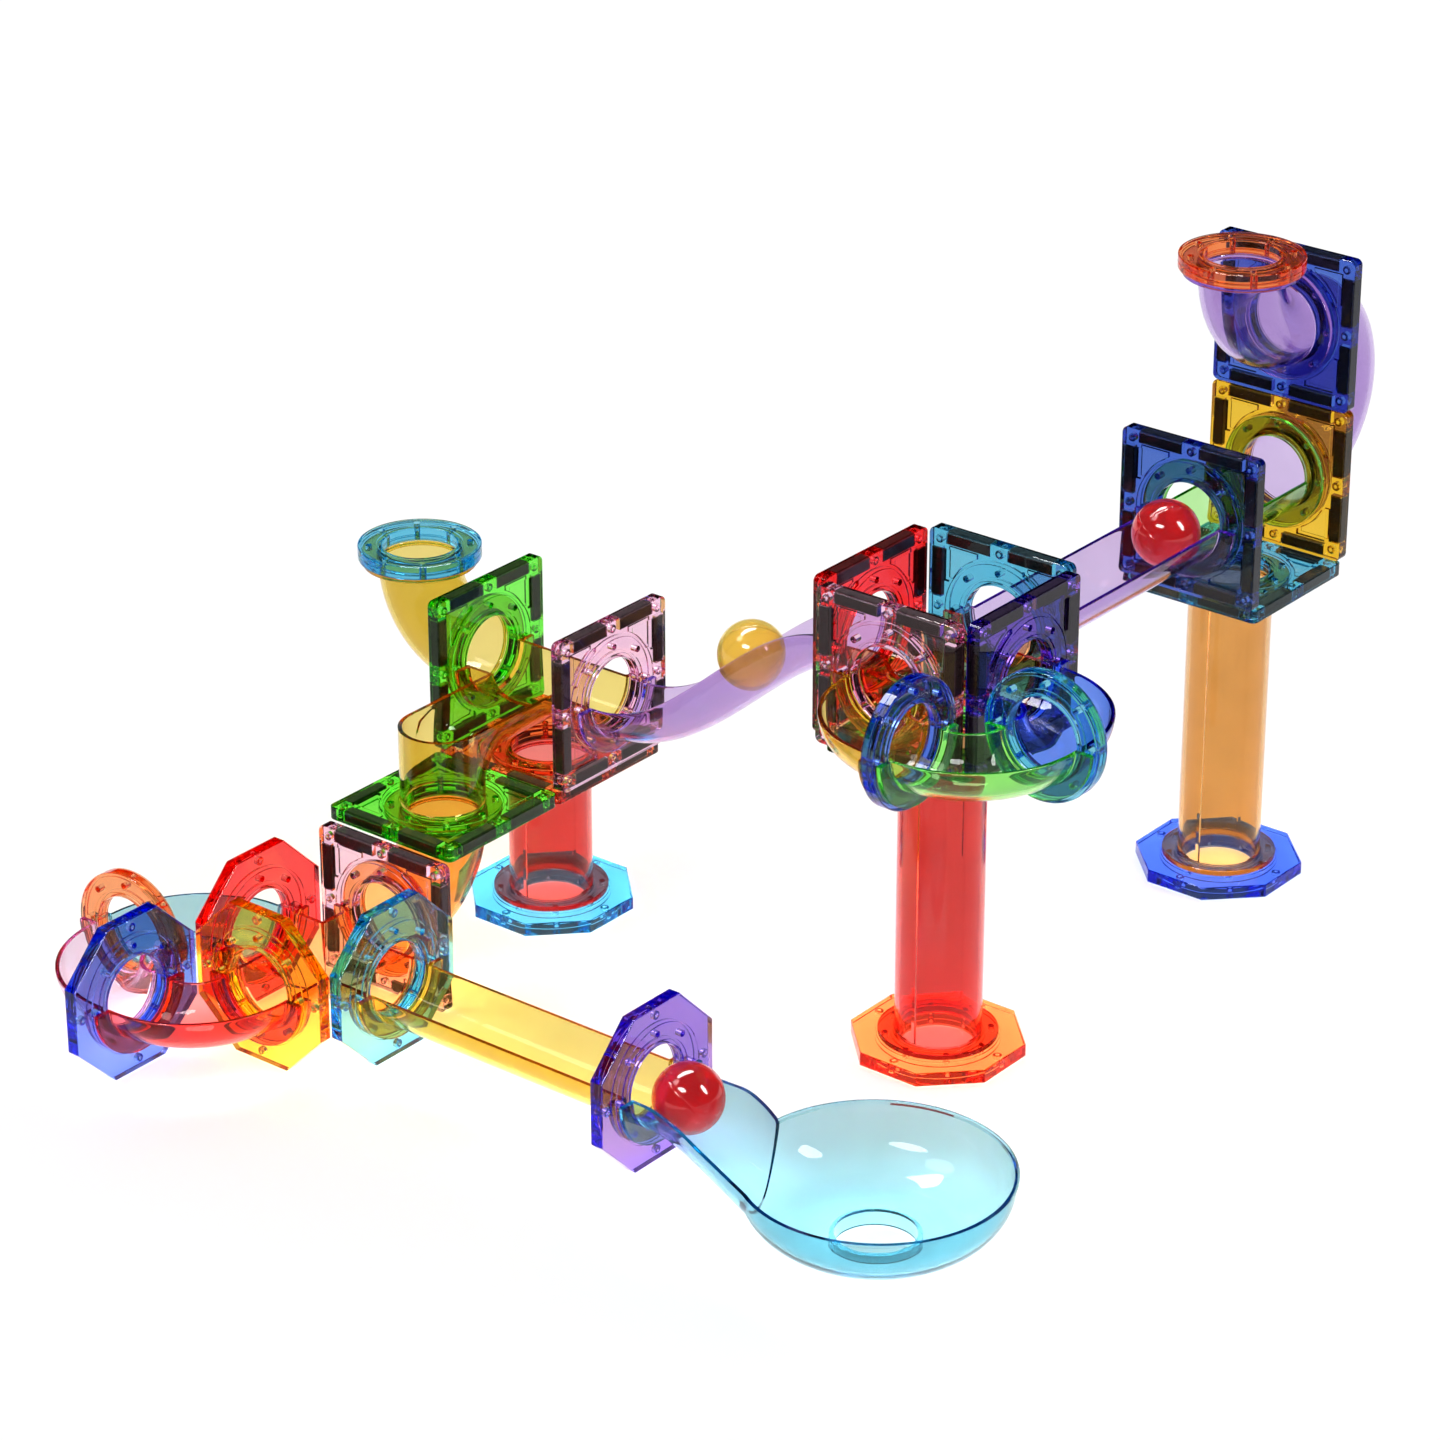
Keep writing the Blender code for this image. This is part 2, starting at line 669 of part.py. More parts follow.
def add_straight_tracks():
    long, short = straight_frames(2 * PITCH), straight_frames(PITCH)
    from_octagon = heading("+x", CATCH_X + STEP, CROSS_Y, LOW)
    add_piece("track_lilac_long", "lilac", track_mesh(long), heading("+y", 0, STEP, HIGH))
    add_piece("track_green_short", "green", track_mesh(short, True), heading("+y", 0, FRONT_Y, HIGH))
    add_piece("track_yellow_long", "yellow", track_mesh(long), from_octagon)
    add_piece("track_lilac_wave", "lilac", track_mesh(wave_frames()), heading("-x", -STEP, 0, HIGH))


def add_curved_tracks():
    """Two loops of three quarter turns, one outside the cube and one at the lower left."""
    left = CATCH_X - STEP
    for name, colour, place in (
        ("curve_yellow", "yellow", heading("-y", 0, -STEP, HIGH)),
        ("curve_green", "green", heading("+x", STEP, -2 * STEP, HIGH)),
        ("curve_blue", "blue", heading("+y", 2 * STEP, -STEP, HIGH)),
        ("curve_aqua", "aqua", heading("-x", left, CROSS_Y, LOW)),
        ("curve_pink", "pink", heading("-y", left - STEP, CROSS_Y - STEP, LOW)),
        ("curve_red", "red", heading("+x", left, CROSS_Y - 2 * STEP, LOW)),
    ):
        add_piece(name, colour, track_mesh(curve_frames()), place)


def ball_mesh():
    bm = bmesh.new()
    bmesh.ops.create_uvsphere(bm, u_segments=20, v_segments=10, radius=BALL)
    return bm


def add_balls():
    """Each ball rests in a track, a little above its floor, with its origin at its centre."""
    rest = Matrix.Translation((0, 0, BALL + 2 * GAP - BORE))
    past_plate = SEAT + BALL + BALL_MARGIN
    on_wave = wave_frame(BALL_ON_WAVE)
    for name, colour, place in (
        ("ball_red_high", "ball_red", heading("-y", 0, FRONT_Y - past_plate, HIGH)),
        ("ball_yellow", "ball_yellow", heading("-x", -STEP, 0, HIGH) @ on_wave),
        ("ball_red_low", "ball_red", heading("+x", BASIN_X + past_plate, CROSS_Y, LOW)),
    ):
        add_piece(name, colour, ball_mesh(), place @ rest)


def main():
    clear_scene()
    add_tiles()
    add_octagons()
    add_rings()
    add_poles()
    add_tubes()
    add_straight_tracks()
    add_curved_tracks()
    add_crossing("crossing_orange_high", "orange", Matrix.Translation((0, 0, HIGH)))
    add_crossing("crossing_orange_low", "orange", Matrix.Translation((CATCH_X, CROSS_Y, LOW)))
    add_catcher("catcher_yellow", "yellow", Matrix.Translation((CATCH_X, 0, MIDDLE)))
    add_basin("basin_aqua", "aqua", Matrix.Translation((BASIN_X, CROSS_Y, LOW)))
    add_balls()


main()
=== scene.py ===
import math

import bmesh
import bpy
from mathutils import Matrix, Vector
from mathutils.geometry import tessellate_polygon


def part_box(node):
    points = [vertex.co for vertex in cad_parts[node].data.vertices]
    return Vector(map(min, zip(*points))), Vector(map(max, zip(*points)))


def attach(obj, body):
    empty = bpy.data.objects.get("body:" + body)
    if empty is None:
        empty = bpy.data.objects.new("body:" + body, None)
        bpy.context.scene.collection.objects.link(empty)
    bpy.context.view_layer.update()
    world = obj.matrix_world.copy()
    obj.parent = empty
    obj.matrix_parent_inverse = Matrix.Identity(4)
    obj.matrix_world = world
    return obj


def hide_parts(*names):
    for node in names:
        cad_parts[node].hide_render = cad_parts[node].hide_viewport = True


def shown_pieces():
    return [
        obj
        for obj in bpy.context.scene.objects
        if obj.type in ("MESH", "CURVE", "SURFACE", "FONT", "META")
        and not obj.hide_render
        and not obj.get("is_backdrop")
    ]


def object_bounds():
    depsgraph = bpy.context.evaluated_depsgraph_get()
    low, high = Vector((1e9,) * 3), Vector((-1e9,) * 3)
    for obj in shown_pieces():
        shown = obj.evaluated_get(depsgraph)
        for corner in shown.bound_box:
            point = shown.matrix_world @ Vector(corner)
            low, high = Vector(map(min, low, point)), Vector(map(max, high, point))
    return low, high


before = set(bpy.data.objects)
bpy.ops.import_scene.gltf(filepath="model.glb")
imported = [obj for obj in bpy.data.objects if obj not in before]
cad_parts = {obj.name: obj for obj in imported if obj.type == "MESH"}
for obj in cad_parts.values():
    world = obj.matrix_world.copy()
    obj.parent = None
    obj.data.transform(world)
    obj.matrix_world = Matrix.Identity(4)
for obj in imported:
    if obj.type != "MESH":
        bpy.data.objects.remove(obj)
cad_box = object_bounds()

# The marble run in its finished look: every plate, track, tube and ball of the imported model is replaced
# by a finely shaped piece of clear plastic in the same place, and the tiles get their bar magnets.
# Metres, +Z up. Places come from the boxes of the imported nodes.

# Sizes that the pieces share
TILE = 0.0747  # width of a square tile
PLATE = 0.0066  # thickness of every tile, octagon and ring
GAP = 0.0003  # clearance that touching pieces keep
BORE = 0.0178
TUBE = 0.0198  # outer radius of a tube or a track
FLANGE = 0.0273
FLANGE_DEPTH = 0.0025
RING = 0.0294
PITCH = TILE + GAP
STEP = (TILE + PLATE) / 2 + GAP
SEAT = PLATE / 2 + GAP  # from a plate's middle to a flange's face
BEND_START = SEAT + FLANGE_DEPTH
BEND = STEP - BEND_START
HAIR = 0.00004  # clearance between parts of one piece that meet
SOFT = 1 - math.sqrt(0.5)  # how far in the middle of a rounded edge lies, as a share of its radius

# Details of the plates
EDGE = 0.0005  # rounding of a plate's outer edges
CORNER = 0.003
FRAME = 0.0085  # width of a tile's frame around its thinner panel
POCKET_DEPTH = 0.0012
POCKET_SLANT = 0.0003
POCKET_START = math.asin(0.45)  # angle at which a pocket begins beside its boss
PEG_CIRCLE = 0.024
PEG_HOLE = 0.0016
PEGS = 8
GROOVES = ((0.0206, 0.0198), (0.0283, 0.0277))  # outer and inner radius of the grooves round a bore
GROOVE_DEPTH = 0.0006
GROOVE_SLANT = 0.0001
SEAM = 0.0002
BORE_CHAMFER = 0.0005
RIVET_REACH = 0.0330  # from a plate's middle to the rivets beside its edges
CORNER_REACH = 0.0323  # a tile's corner rivets, along X and along Y
RIVET = 0.0021
RIVET_POST = 0.0010
RIVET_COVER = 0.0010  # from a rivet's end to the plate's face
RIVET_SLANT = 0.0005

# The bar magnets of a tile
MAGNET = (0.0224, 0.0054, 0.0048)
MAGNET_EDGE = 0.0004
CHAMBER = (0.0238, 0.0053, 0.0047)  # the space that a magnet fills but for its ends
CHAMBER_EDGE = 0.0003
MAGNET_ALONG = 0.0165  # from the middle of a tile's edge to a magnet's middle
MAGNET_REACH = 0.03345  # from the tile's middle

# Details of the tracks
LIP = 0.0006  # rounding of a track's upper edges
RIM = 0.0004  # rounding of a flange's rim
FILLET = 0.0008  # between a flange and its tube
PEG = 0.0013
PEG_LENGTH = 0.42 * PLATE + GAP
PEG_EDGE = 0.0004
LOWER_PEGS = (-45, -90, -135)  # degrees
ALL_PEGS = tuple(range(0, 360, 45))
RIBS = (90, 270)
RIB_HEIGHT = 0.0008
RIB_REACH = 2  # degrees to each side of a rib's middle
CUP_FILLET = 0.010  # in the catcher, where its floor turns down into the cup
CUP_OVERLAP = 0.001

# The basin
BASIN_RIM = 0.0595
BASIN_OFFSET = 0.1208
BOWL_DEPTH = 0.031
BOWL_FLAT = 0.0235
BOWL_EDGE = 0.004  # height of its upright edge
BOWL_LIP = 0.0009
LIP_TOP, LIP_BOTTOM = -0.0011, -0.0018  # heights where the lip is at its widest and where it begins
HOLE_DROP = 0.0003  # how far the bowl's flat falls towards its hole
WALL = TUBE - BORE
# The spout's cross-sections: how far along its near edge is and how far out from a half-pipe's, the
# same for its far edge, and how much deeper than a half-pipe it is. The last is inside the bowl.
SPOUT = (
    (0.0150, 0.0007, 0.0120, 0.0, 0.0),
    (0.0320, 0.0058, 0.0246, 0.0, 0.0006),
    (0.0520, 0.0145, 0.0371, 0.0, 0.0014),
    (0.0760, 0.0249, 0.0505, -0.0050, 0.0022),
    (0.0990, 0.0348, 0.0640, -0.0125, 0.0030),
)

# The balls
SEAM_DEPTH = 0.00025
SEAM_WIDTH = 0.0003
BALL_WALL = 0.0016

# Facets
ROUND = 96
SMALL_ROUND = 20
SMOOTH = math.radians(20)

FACING = {
    "x": Matrix.Rotation(math.radians(90), 4, "Y"),
    "y": Matrix.Rotation(math.radians(-90), 4, "X"),
    "z": Matrix.Identity(4),
}
HEADING = {"+y": 0, "-x": 90, "-y": 180, "+x": -90}
LIE_DOWN = Matrix.Rotation(math.radians(-90), 4, "X")

# What white light keeps, as linear red, green and blue, after it has passed through a tile's frame
TILE_TINTS = {
    "blue": (0.064, 0.140, 0.560),
    "cyan": (0.113, 0.480, 0.670),
    "green": (0.170, 0.880, 0.070),
    "yellow": (0.820, 0.490, 0.030),
    "orange": (0.900, 0.240, 0.070),
    "red": (0.920, 0.036, 0.038),
    "pink": (0.920, 0.600, 0.770),
    "purple": (0.170, 0.090, 0.520),
}
# The same after it has passed through one wall of a tube, a track or the basin
WALL_TINTS = {
    "blue": (0.150, 0.290, 0.870),
    "green": (0.520, 0.890, 0.400),
    "yellow": (0.820, 0.670, 0.210),
    "orange": (0.950, 0.560, 0.220),
    "red": (0.790, 0.210, 0.190),
    "pink": (0.890, 0.680, 0.820),
    "lilac": (0.650, 0.520, 0.790),
    "aqua": (0.395, 0.650, 0.715),
    "clear_orange": (0.830, 0.560, 0.270),
}
# The same after it has passed through a whole ball
BALL_TINTS = {
    "red": (0.860, 0.060, 0.070),
    "yellow": (0.940, 0.730, 0.200),
}
PALER = 0.7  # strength of an octagon's or a ring's tint against a tile's
PLATE_SURFACE = 0.55  # share of a plate's tint that lies in its surface and not in its depth
WALL_SURFACE = 0.75
CLEAREST = 0.98  # what the depth keeps of a tint's strongest channel
REFLECTION = 0.4  # strength of the reflections at right angles to a surface
CLEAR_ROUGHNESS = (0.01, 0.04)
BALL_ROUGHNESS = (0.04, 0.09)
GRAIN_ROUGHNESS = (0.25, 0.45)

# Light
ROOM = 0.92  # radiance of the room, where white paper shows as 1
KEY = 0.65
PANEL_RADIANCE = 24
PANEL_DISTANCE = 2.5
LONGEST_PATH = 40  # bounces
FLOOR_WHITE = 0.95
FLOOR_RADIUS = 30
FLOOR_BELOW = 0.0002

# Camera, with angles in degrees and its aim as an offset from the set's middle
AZIMUTH, ELEVATION, ROLL = 38.664, 25.470, 0.071
AIM = (0.0298, -0.0975, 0.0112)
DISTANCE = 2.13918
LENS = 123.18


# Materials


def node(tree, kind, **settings):
    made = tree.nodes.new(kind)
    for name, value in settings.items():
        made.inputs[name.replace("_", " ")].default_value = value
    return made


def noise(tree, scale, detail=2.0):
    """Noise in the object's own coordinates, which are metres."""
    coordinates = tree.nodes.new("ShaderNodeTexCoord")
    texture = node(tree, "ShaderNodeTexNoise", Scale=scale, Detail=detail)
    tree.links.new(coordinates.outputs["Object"], texture.inputs["Vector"])
    return texture.outputs["Fac"]


def ramp(tree, source, low, high):
    """A colour or a value that goes from low to high with the source."""
    made = tree.nodes.new("ShaderNodeValToRGB")
    for element, value in zip(made.color_ramp.elements, (low, high)):
        element.color = (*value, 1) if isinstance(value, tuple) else (value, value, value, 1)
    made.color_ramp.elements[0].position = 0.3
    made.color_ramp.elements[1].position = 0.7
    tree.links.new(source, made.inputs["Fac"])
    return made.outputs["Color"]


def moulded_plastic(name, surface):
    """Polished plastic whose colour is faintly uneven; returns the material, its tree and its shader."""
    material = bpy.data.materials.new(name)
    material.use_nodes = True
    tree = material.node_tree
    shader = tree.nodes["Principled BSDF"]
    deeper = tuple(value * 0.94 for value in surface)
    tree.links.new(ramp(tree, noise(tree, 45), surface, deeper), shader.inputs["Base Color"])
    waves = node(tree, "ShaderNodeBump", Strength=0.01, Distance=0.001)
    tree.links.new(noise(tree, 60), waves.inputs["Height"])
    tree.links.new(waves.outputs["Normal"], shader.inputs["Normal"])
    shader.inputs["IOR"].default_value = 1.46
    material.diffuse_color = (*surface, 1)
    return material, tree, shader


def clear_plastic(name, tint, share, thickness):
    """Clear plastic that takes this share of its tint in its surface and the rest in its depth."""
    in_depth = [CLEAREST * (value / max(tint)) ** (1 - share) for value in tint]
    surface = tuple(value / kept for value, kept in zip(tint, in_depth))
    material, tree, shader = moulded_plastic(name, surface)
    tree.links.new(ramp(tree, noise(tree, 240, 4), *CLEAR_ROUGHNESS), shader.inputs["Roughness"])
    shader.inputs["Transmission Weight"].default_value = 1
    shader.inputs["Specular Tint"].default_value = (REFLECTION, REFLECTION, REFLECTION, 1)
    losses = [-math.log(kept) / thickness for kept in in_depth]
    density = max(losses)
    depth = node(tree, "ShaderNodeVolumeAbsorption", Density=density)
    depth.inputs["Color"].default_value = (*(1 - loss / density for loss in losses), 1)
    tree.links.new(depth.outputs["Volume"], tree.nodes["Material Output"].inputs["Volume"])
    return material


def ball_plastic(name, tint):
    """Half-clear plastic that also scatters some light."""
    material, tree, shader = moulded_plastic(name, tint)
    tree.links.new(ramp(tree, noise(tree, 240, 4), *BALL_ROUGHNESS), shader.inputs["Roughness"])
    shader.inputs["Transmission Weight"].default_value = 0.8
    return material


def magnet_material():
    """Dark ferrite: almost black, a little brown, with a fine grain."""
    material = bpy.data.materials.new("ferrite")
    material.use_nodes = True
    tree = material.node_tree
    shader = tree.nodes["Principled BSDF"]
    grain = noise(tree, 900, 5)
    colour = ramp(tree, grain, (0.010, 0.006, 0.006), (0.030, 0.016, 0.014))
    tree.links.new(colour, shader.inputs["Base Color"])
    tree.links.new(ramp(tree, grain, *GRAIN_ROUGHNESS), shader.inputs["Roughness"])
    shader.inputs["Specular IOR Level"].default_value = 0.15
    bump = node(tree, "ShaderNodeBump", Strength=0.2, Distance=0.0002)
    tree.links.new(grain, bump.inputs["Height"])
    tree.links.new(bump.outputs["Normal"], shader.inputs["Normal"])
    return material


made_materials = {}


def plastic(colour, kind):
    """The one material for a tile, a paler plate, a thin wall or a ball of this colour."""
    if (colour, kind) not in made_materials:
        name = f"{kind}_{colour}"
        if kind == "ball":
            made = ball_plastic(name, BALL_TINTS[colour])
        elif kind == "wall":
            made = clear_plastic(name, WALL_TINTS[colour], WALL_SURFACE, WALL)
        elif kind == "tile":
            made = clear_plastic(name, TILE_TINTS[colour], PLATE_SURFACE, PLATE)
        else:
            paler = tuple(value**PALER for value in TILE_TINTS[colour])
            made = clear_plastic(name, paler, PLATE_SURFACE, PLATE)
        made_materials[colour, kind] = made
    return made_materials[colour, kind]


# Objects


def new_object(name, bm, place=Matrix.Identity(4), hollow=False):
    """An object from a mesh. One that is hollow keeps its hollows facing inwards."""
    if not hollow:
        bmesh.ops.recalc_face_normals(bm, faces=bm.faces[:])
    mesh = bpy.data.meshes.new(name)
    bm.to_mesh(mesh)
    bm.free()
    obj = bpy.data.objects.new(name, mesh)
    bpy.context.scene.collection.objects.link(obj)
    obj.matrix_world = place
    return obj


def finish_piece(obj, material, body="root", instead_of=()):
    """Gives a piece its material, its shading and its body, and hides the nodes that it stands for."""
    obj.data.materials.clear()
    obj.data.materials.append(material)
    obj.data.polygons.foreach_set("use_smooth", [True] * len(obj.data.polygons))
    obj.data.set_sharp_from_angle(angle=SMOOTH)
    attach(obj, body)
    if instead_of:
        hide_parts(*instead_of)


def finish_thin_piece(obj, colour, *node_names):
    finish_piece(obj, plastic(colour, "wall"), "root", node_names)


# Where things are


def turned_box(node_name, direction):
    """A node's box in axes whose +Y points in this direction, and the turn to those axes."""
    turn = Matrix.Rotation(math.radians(HEADING[direction]), 4, "Z")
    corners = [turn.inverted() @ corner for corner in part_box(node_name)]
    low = Vector(map(min, *corners))
    high = Vector(map(max, *corners))
    return low, high, turn


def plate_place(node_name):
    """A plate's middle, with its local Z along its thin side."""
    low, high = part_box(node_name)
    sides = high - low
    axis = "xyz"[min(range(3), key=lambda index: sides[index])]
    return Matrix.Translation((low + high) / 2) @ FACING[axis]


def straight_place(node_name, direction, full_rings=False):
    low, high, turn = turned_box(node_name, direction)
    middle = (low + high) / 2
    height = middle.z if full_rings else high.z
    return turn @ Matrix.Translation((middle.x, low.y - SEAT, height))


def curve_place(node_name, direction):
    low, high, turn = turned_box(node_name, direction)
    return turn @ Matrix.Translation((high.x - FLANGE, low.y - SEAT, high.z))


def elbow_place(node_name, direction):
    low, high, turn = turned_box(node_name, direction)
    return turn @ Matrix.Translation(((low.x + high.x) / 2, low.y + FLANGE, high.z + SEAT))


def return_place(node_name, direction):
    low, high, turn = turned_box(node_name, direction)
    return turn @ Matrix.Translation(((low.x + high.x) / 2, low.y - SEAT, high.z - FLANGE))


# Outlines


def circle(radius, count=ROUND, centre=(0, 0), turned=0):
    turns = [2 * math.pi * (step + turned) / count for step in range(count)]
    return [(centre[0] + radius * math.cos(t), centre[1] + radius * math.sin(t)) for t in turns]


def around(reach, count, start=0):
    """Points at this distance from the middle, evenly spaced, from an angle in degrees."""
    turns = [math.radians(start) + 2 * math.pi * step / count for step in range(count)]
    return [(reach * math.cos(t), reach * math.sin(t)) for t in turns]


def square_outline(inset, steps=6):
    corner = CORNER - inset
    reach = TILE / 2 - CORNER
    points = []
    for quarter in range(4):
        side_x, side_y = ((1, 1), (-1, 1), (-1, -1), (1, -1))[quarter]
        for step in range(steps + 1):
            angle = math.radians(90 * (quarter + step / steps))
            x = side_x * reach + corner * math.cos(angle)
            y = side_y * reach + corner * math.sin(angle)
            points.append((x, y))
    return points


def octagon_outline(inset):
    return circle((PITCH / 2 - inset) / math.cos(math.pi / 8), 8, turned=0.5)


def ring_outline(inset):
    return circle(RING - inset)


def corner_pocket(quarter, inset=0.0):
    """The recess between a tile's frame and its ring boss in one corner."""
    reach = TILE / 2 - FRAME - inset
    boss = RING + inset
    start = POCKET_START + inset / RING
    steps = 16
    angles = [start + (math.pi / 2 - 2 * start) * step / steps for step in range(steps + 1)]
    arc = [(boss * math.cos(a), boss * math.sin(a)) for a in reversed(angles)]
    inner = [(reach, arc[-1][1]), (reach, reach), (arc[0][0], reach)]
    turn = Matrix.Rotation(math.radians(90 * quarter), 2)
    return [tuple(turn @ Vector(point)) for point in arc + inner]


# Plates


def loop_at(bm, outline, height):
    return [bm.verts.new((x, y, height)) for x, y in outline]


def wall(bm, lower, upper):
    for index, vertex in enumerate(lower):
        after = (index + 1) % len(lower)
        bm.faces.new((vertex, lower[after], upper[after], upper[index]))


def skin(bm, loops):
    """Walls between the loops in turn, and a face at each end."""
    for lower, upper in zip(loops, loops[1:]):
        wall(bm, lower, upper)
    bm.faces.new(loops[0])
    bm.faces.new(loops[-1])


def cap(bm, loops):
    """Fills the area inside the first loop and outside the others."""
    vertices = [vertex for loop in loops for vertex in loop]
    for triangle in tessellate_polygon([[vertex.co for vertex in loop] for loop in loops]):
        bm.faces.new([vertices[index] for index in triangle])


def add_box(bm, centre, size, edge, turn):
    """A box with chamfered edges along its length."""
    half = Vector(size) / 2
    ends = []
    for side in (-1, 1):
        loop = []
        for y, z in ((-1, -1), (1, -1), (1, 1), (-1, 1)):
            for corner in ((0, edge), (edge, 0)) if y == z else ((edge, 0), (0, edge)):
                at = (side * half.x, y * (half.y - corner[0]), z * (half.z - corner[1]))
                loop.append(bm.verts.new(turn @ (Vector(centre) + Vector(at))))
        ends.append(loop)
    wall(bm, *ends)
    for loop in ends:
        bm.faces.new(loop)


def rivet(bm, centre):
    """A hollow ring around a post, inside a plate."""
    height = PLATE / 2 - RIVET_COVER
    slanted = RIVET - RIVET_SLANT
    profile = (
        (RIVET_POST, -height), (slanted, -height), (RIVET, RIVET_SLANT - height),
        (RIVET, height - RIVET_SLANT), (slanted, height), (RIVET_POST, height),
    )
    loops = [loop_at(bm, circle(radius, SMALL_ROUND, centre), level) for radius, level in profile]
    for lower, upper in zip(loops, loops[1:] + loops[:1]):
        wall(bm, lower, upper)


def plate_mesh(outline, pockets=False, rivets=(), magnets=False, seam=False):
    """A plate with a ball bore, grooves, peg holes, and what lies inside it."""
    bm = bmesh.new()
    half = PLATE / 2
    soft = EDGE * SOFT
    lower_sides = [(EDGE, -half), (soft, soft - half), (0, EDGE - half)]
    sides = lower_sides + [(inset, -height) for inset, height in reversed(lower_sides)]
    if seam:
        sides[3:3] = [(0, -SEAM), (SEAM, 0), (0, SEAM)]
    rim = [loop_at(bm, outline(inset), height) for inset, height in sides]
    for lower, upper in zip(rim, rim[1:]):
        wall(bm, lower, upper)
    holes = [circle(PEG_HOLE, SMALL_ROUND, centre) for centre in around(PEG_CIRCLE, PEGS)]
    hole_ends, bore_ends = [], []
    for side, edge_loop in ((-1, rim[0]), (1, rim[-1])):
        face = side * half
        floor = face - side * GROOVE_DEPTH
        outside = edge_loop
        inner_holes = []
        if pockets:
            for quarter in range(4):
                mouth = loop_at(bm, corner_pocket(quarter), face)
                sunk = loop_at(bm, corner_pocket(quarter, POCKET_SLANT), face - side * POCKET_DEPTH)
                wall(bm, mouth, sunk)
                cap(bm, [sunk])
                inner_holes.append(mouth)
        hole_loops = [loop_at(bm, points, face) for points in holes]
        hole_ends.append(hole_loops)
        for outer, inner in reversed(GROOVES):
            if outer + EDGE < min(Vector(point).length for point in outline(0)):
                mouth = loop_at(bm, circle(outer), face)
                cap(bm, [outside, mouth, *inner_holes])
                low_out = loop_at(bm, circle(outer - GROOVE_SLANT), floor)
                low_in = loop_at(bm, circle(inner + GROOVE_SLANT), floor)
                outside = loop_at(bm, circle(inner), face)
                for first, second in ((mouth, low_out), (low_out, low_in), (low_in, outside)):
                    wall(bm, first, second)
                inner_holes = []
            if not inner_holes and outer > PEG_CIRCLE:
                inner_holes = hole_loops
        bore_edge = loop_at(bm, circle(BORE + BORE_CHAMFER), face)
        cap(bm, [outside, bore_edge])
        bore_end = loop_at(bm, circle(BORE), face - side * BORE_CHAMFER)
        wall(bm, bore_edge, bore_end)
        bore_ends.append(bore_end)
    wall(bm, *bore_ends)
    for lower, upper in zip(*hole_ends):
        wall(bm, lower, upper)
    solid_faces = bm.faces[:]
    bmesh.ops.recalc_face_normals(bm, faces=solid_faces)
    for centre in rivets:
        rivet(bm, centre)
    if magnets:
        for turn, centre in magnet_places():
            add_box(bm, centre, CHAMBER, CHAMBER_EDGE, turn)
    known = set(solid_faces)
    inside = [face for face in bm.faces if face not in known]
    bmesh.ops.recalc_face_normals(bm, faces=inside)
    bmesh.ops.reverse_faces(bm, faces=inside)
    return bm


def magnet_places():
    for quarter in range(4):
        turn = Matrix.Rotation(math.radians(90 * quarter), 4, "Z")
        for side in (-1, 1):
            yield turn, (side * MAGNET_ALONG, MAGNET_REACH, 0)


def add_plate(node_name, colour, outline, **details):
    bm = plate_mesh(outline, **details)
    obj = new_object("clear_" + node_name, bm, plate_place(node_name), hollow=True)
    material = plastic(colour, "tile" if "magnets" in details else "plate")
    finish_piece(obj, material, "root", [node_name])


def add_tile(node_name, colour, ferrite):
    rivets = around(RIVET_REACH, 4) + around(CORNER_REACH * math.sqrt(2), 4, 45)
    add_plate(node_name, colour, square_outline, pockets=True, rivets=rivets, magnets=True)
    bm = bmesh.new()
    for turn, centre in magnet_places():
        add_box(bm, centre, MAGNET, MAGNET_EDGE, turn)
    bars = new_object("magnets_" + node_name, bm, plate_place(node_name))
    finish_piece(bars, ferrite)


# Tracks and tubes. A frame's columns are a track's right, forward and up, and its centre.


def ahead(at, distance):
    return Matrix.Translation(at.col[1].xyz * distance) @ at


def bend(at, axis, radius, degrees, steps):
    """Frames along an arc that turns about this axis; the first frame given isn't among them."""
    axis = Vector(axis)
    pivot = at.translation + radius * axis.cross(at.col[1].xyz)
    out = Matrix.Translation(pivot)
    turns = [math.radians(degrees * (step + 1) / steps) for step in range(steps)]
    return [out @ Matrix.Rotation(turn, 4, axis) @ out.inverted() @ at for turn in turns]


def quarter_turn(at, axis, steps=40):
    start = ahead(at, SEAT)
    arc = [ahead(start, FLANGE_DEPTH), *bend(ahead(start, FLANGE_DEPTH), axis, BEND, 90, steps)]
    return start, arc, ahead(arc[-1], FLANGE_DEPTH)


def straight_run(length, steps=12):
    start = ahead(Matrix.Identity(4), SEAT)
    first = ahead(start, FLANGE_DEPTH)
    reach = length - 2 * BEND_START
    frames = [ahead(first, reach * step / steps) for step in range(steps + 1)]
    return start, frames, ahead(start, length - 2 * SEAT)


def return_run(steps=72):
    start = ahead(Matrix.Identity(4), SEAT)
    first = ahead(start, FLANGE_DEPTH)
    arc = [first, *bend(first, (-1, 0, 0), PITCH / 2, 180, steps)]
    return start, arc, ahead(arc[-1], FLANGE_DEPTH)


def wave_run(steps=72):
    """A track that drops one PITCH over two, along half a cosine."""
    run = 2 * (PITCH - BEND_START)
    arc = []
    for step in range(steps + 1):
        phase = math.pi * step / steps
        slope = -PITCH / 2 * math.pi / run * math.sin(phase)
        centre = (0, BEND_START + run * step / steps, PITCH / 2 * (math.cos(phase) - 1))
        arc.append(Matrix.Translation(centre) @ Matrix.Rotation(math.atan(slope), 4, "X"))
    start = ahead(Matrix.Identity(4), SEAT)
    return start, arc, Matrix.Translation((0, 2 * PITCH - SEAT, -PITCH))


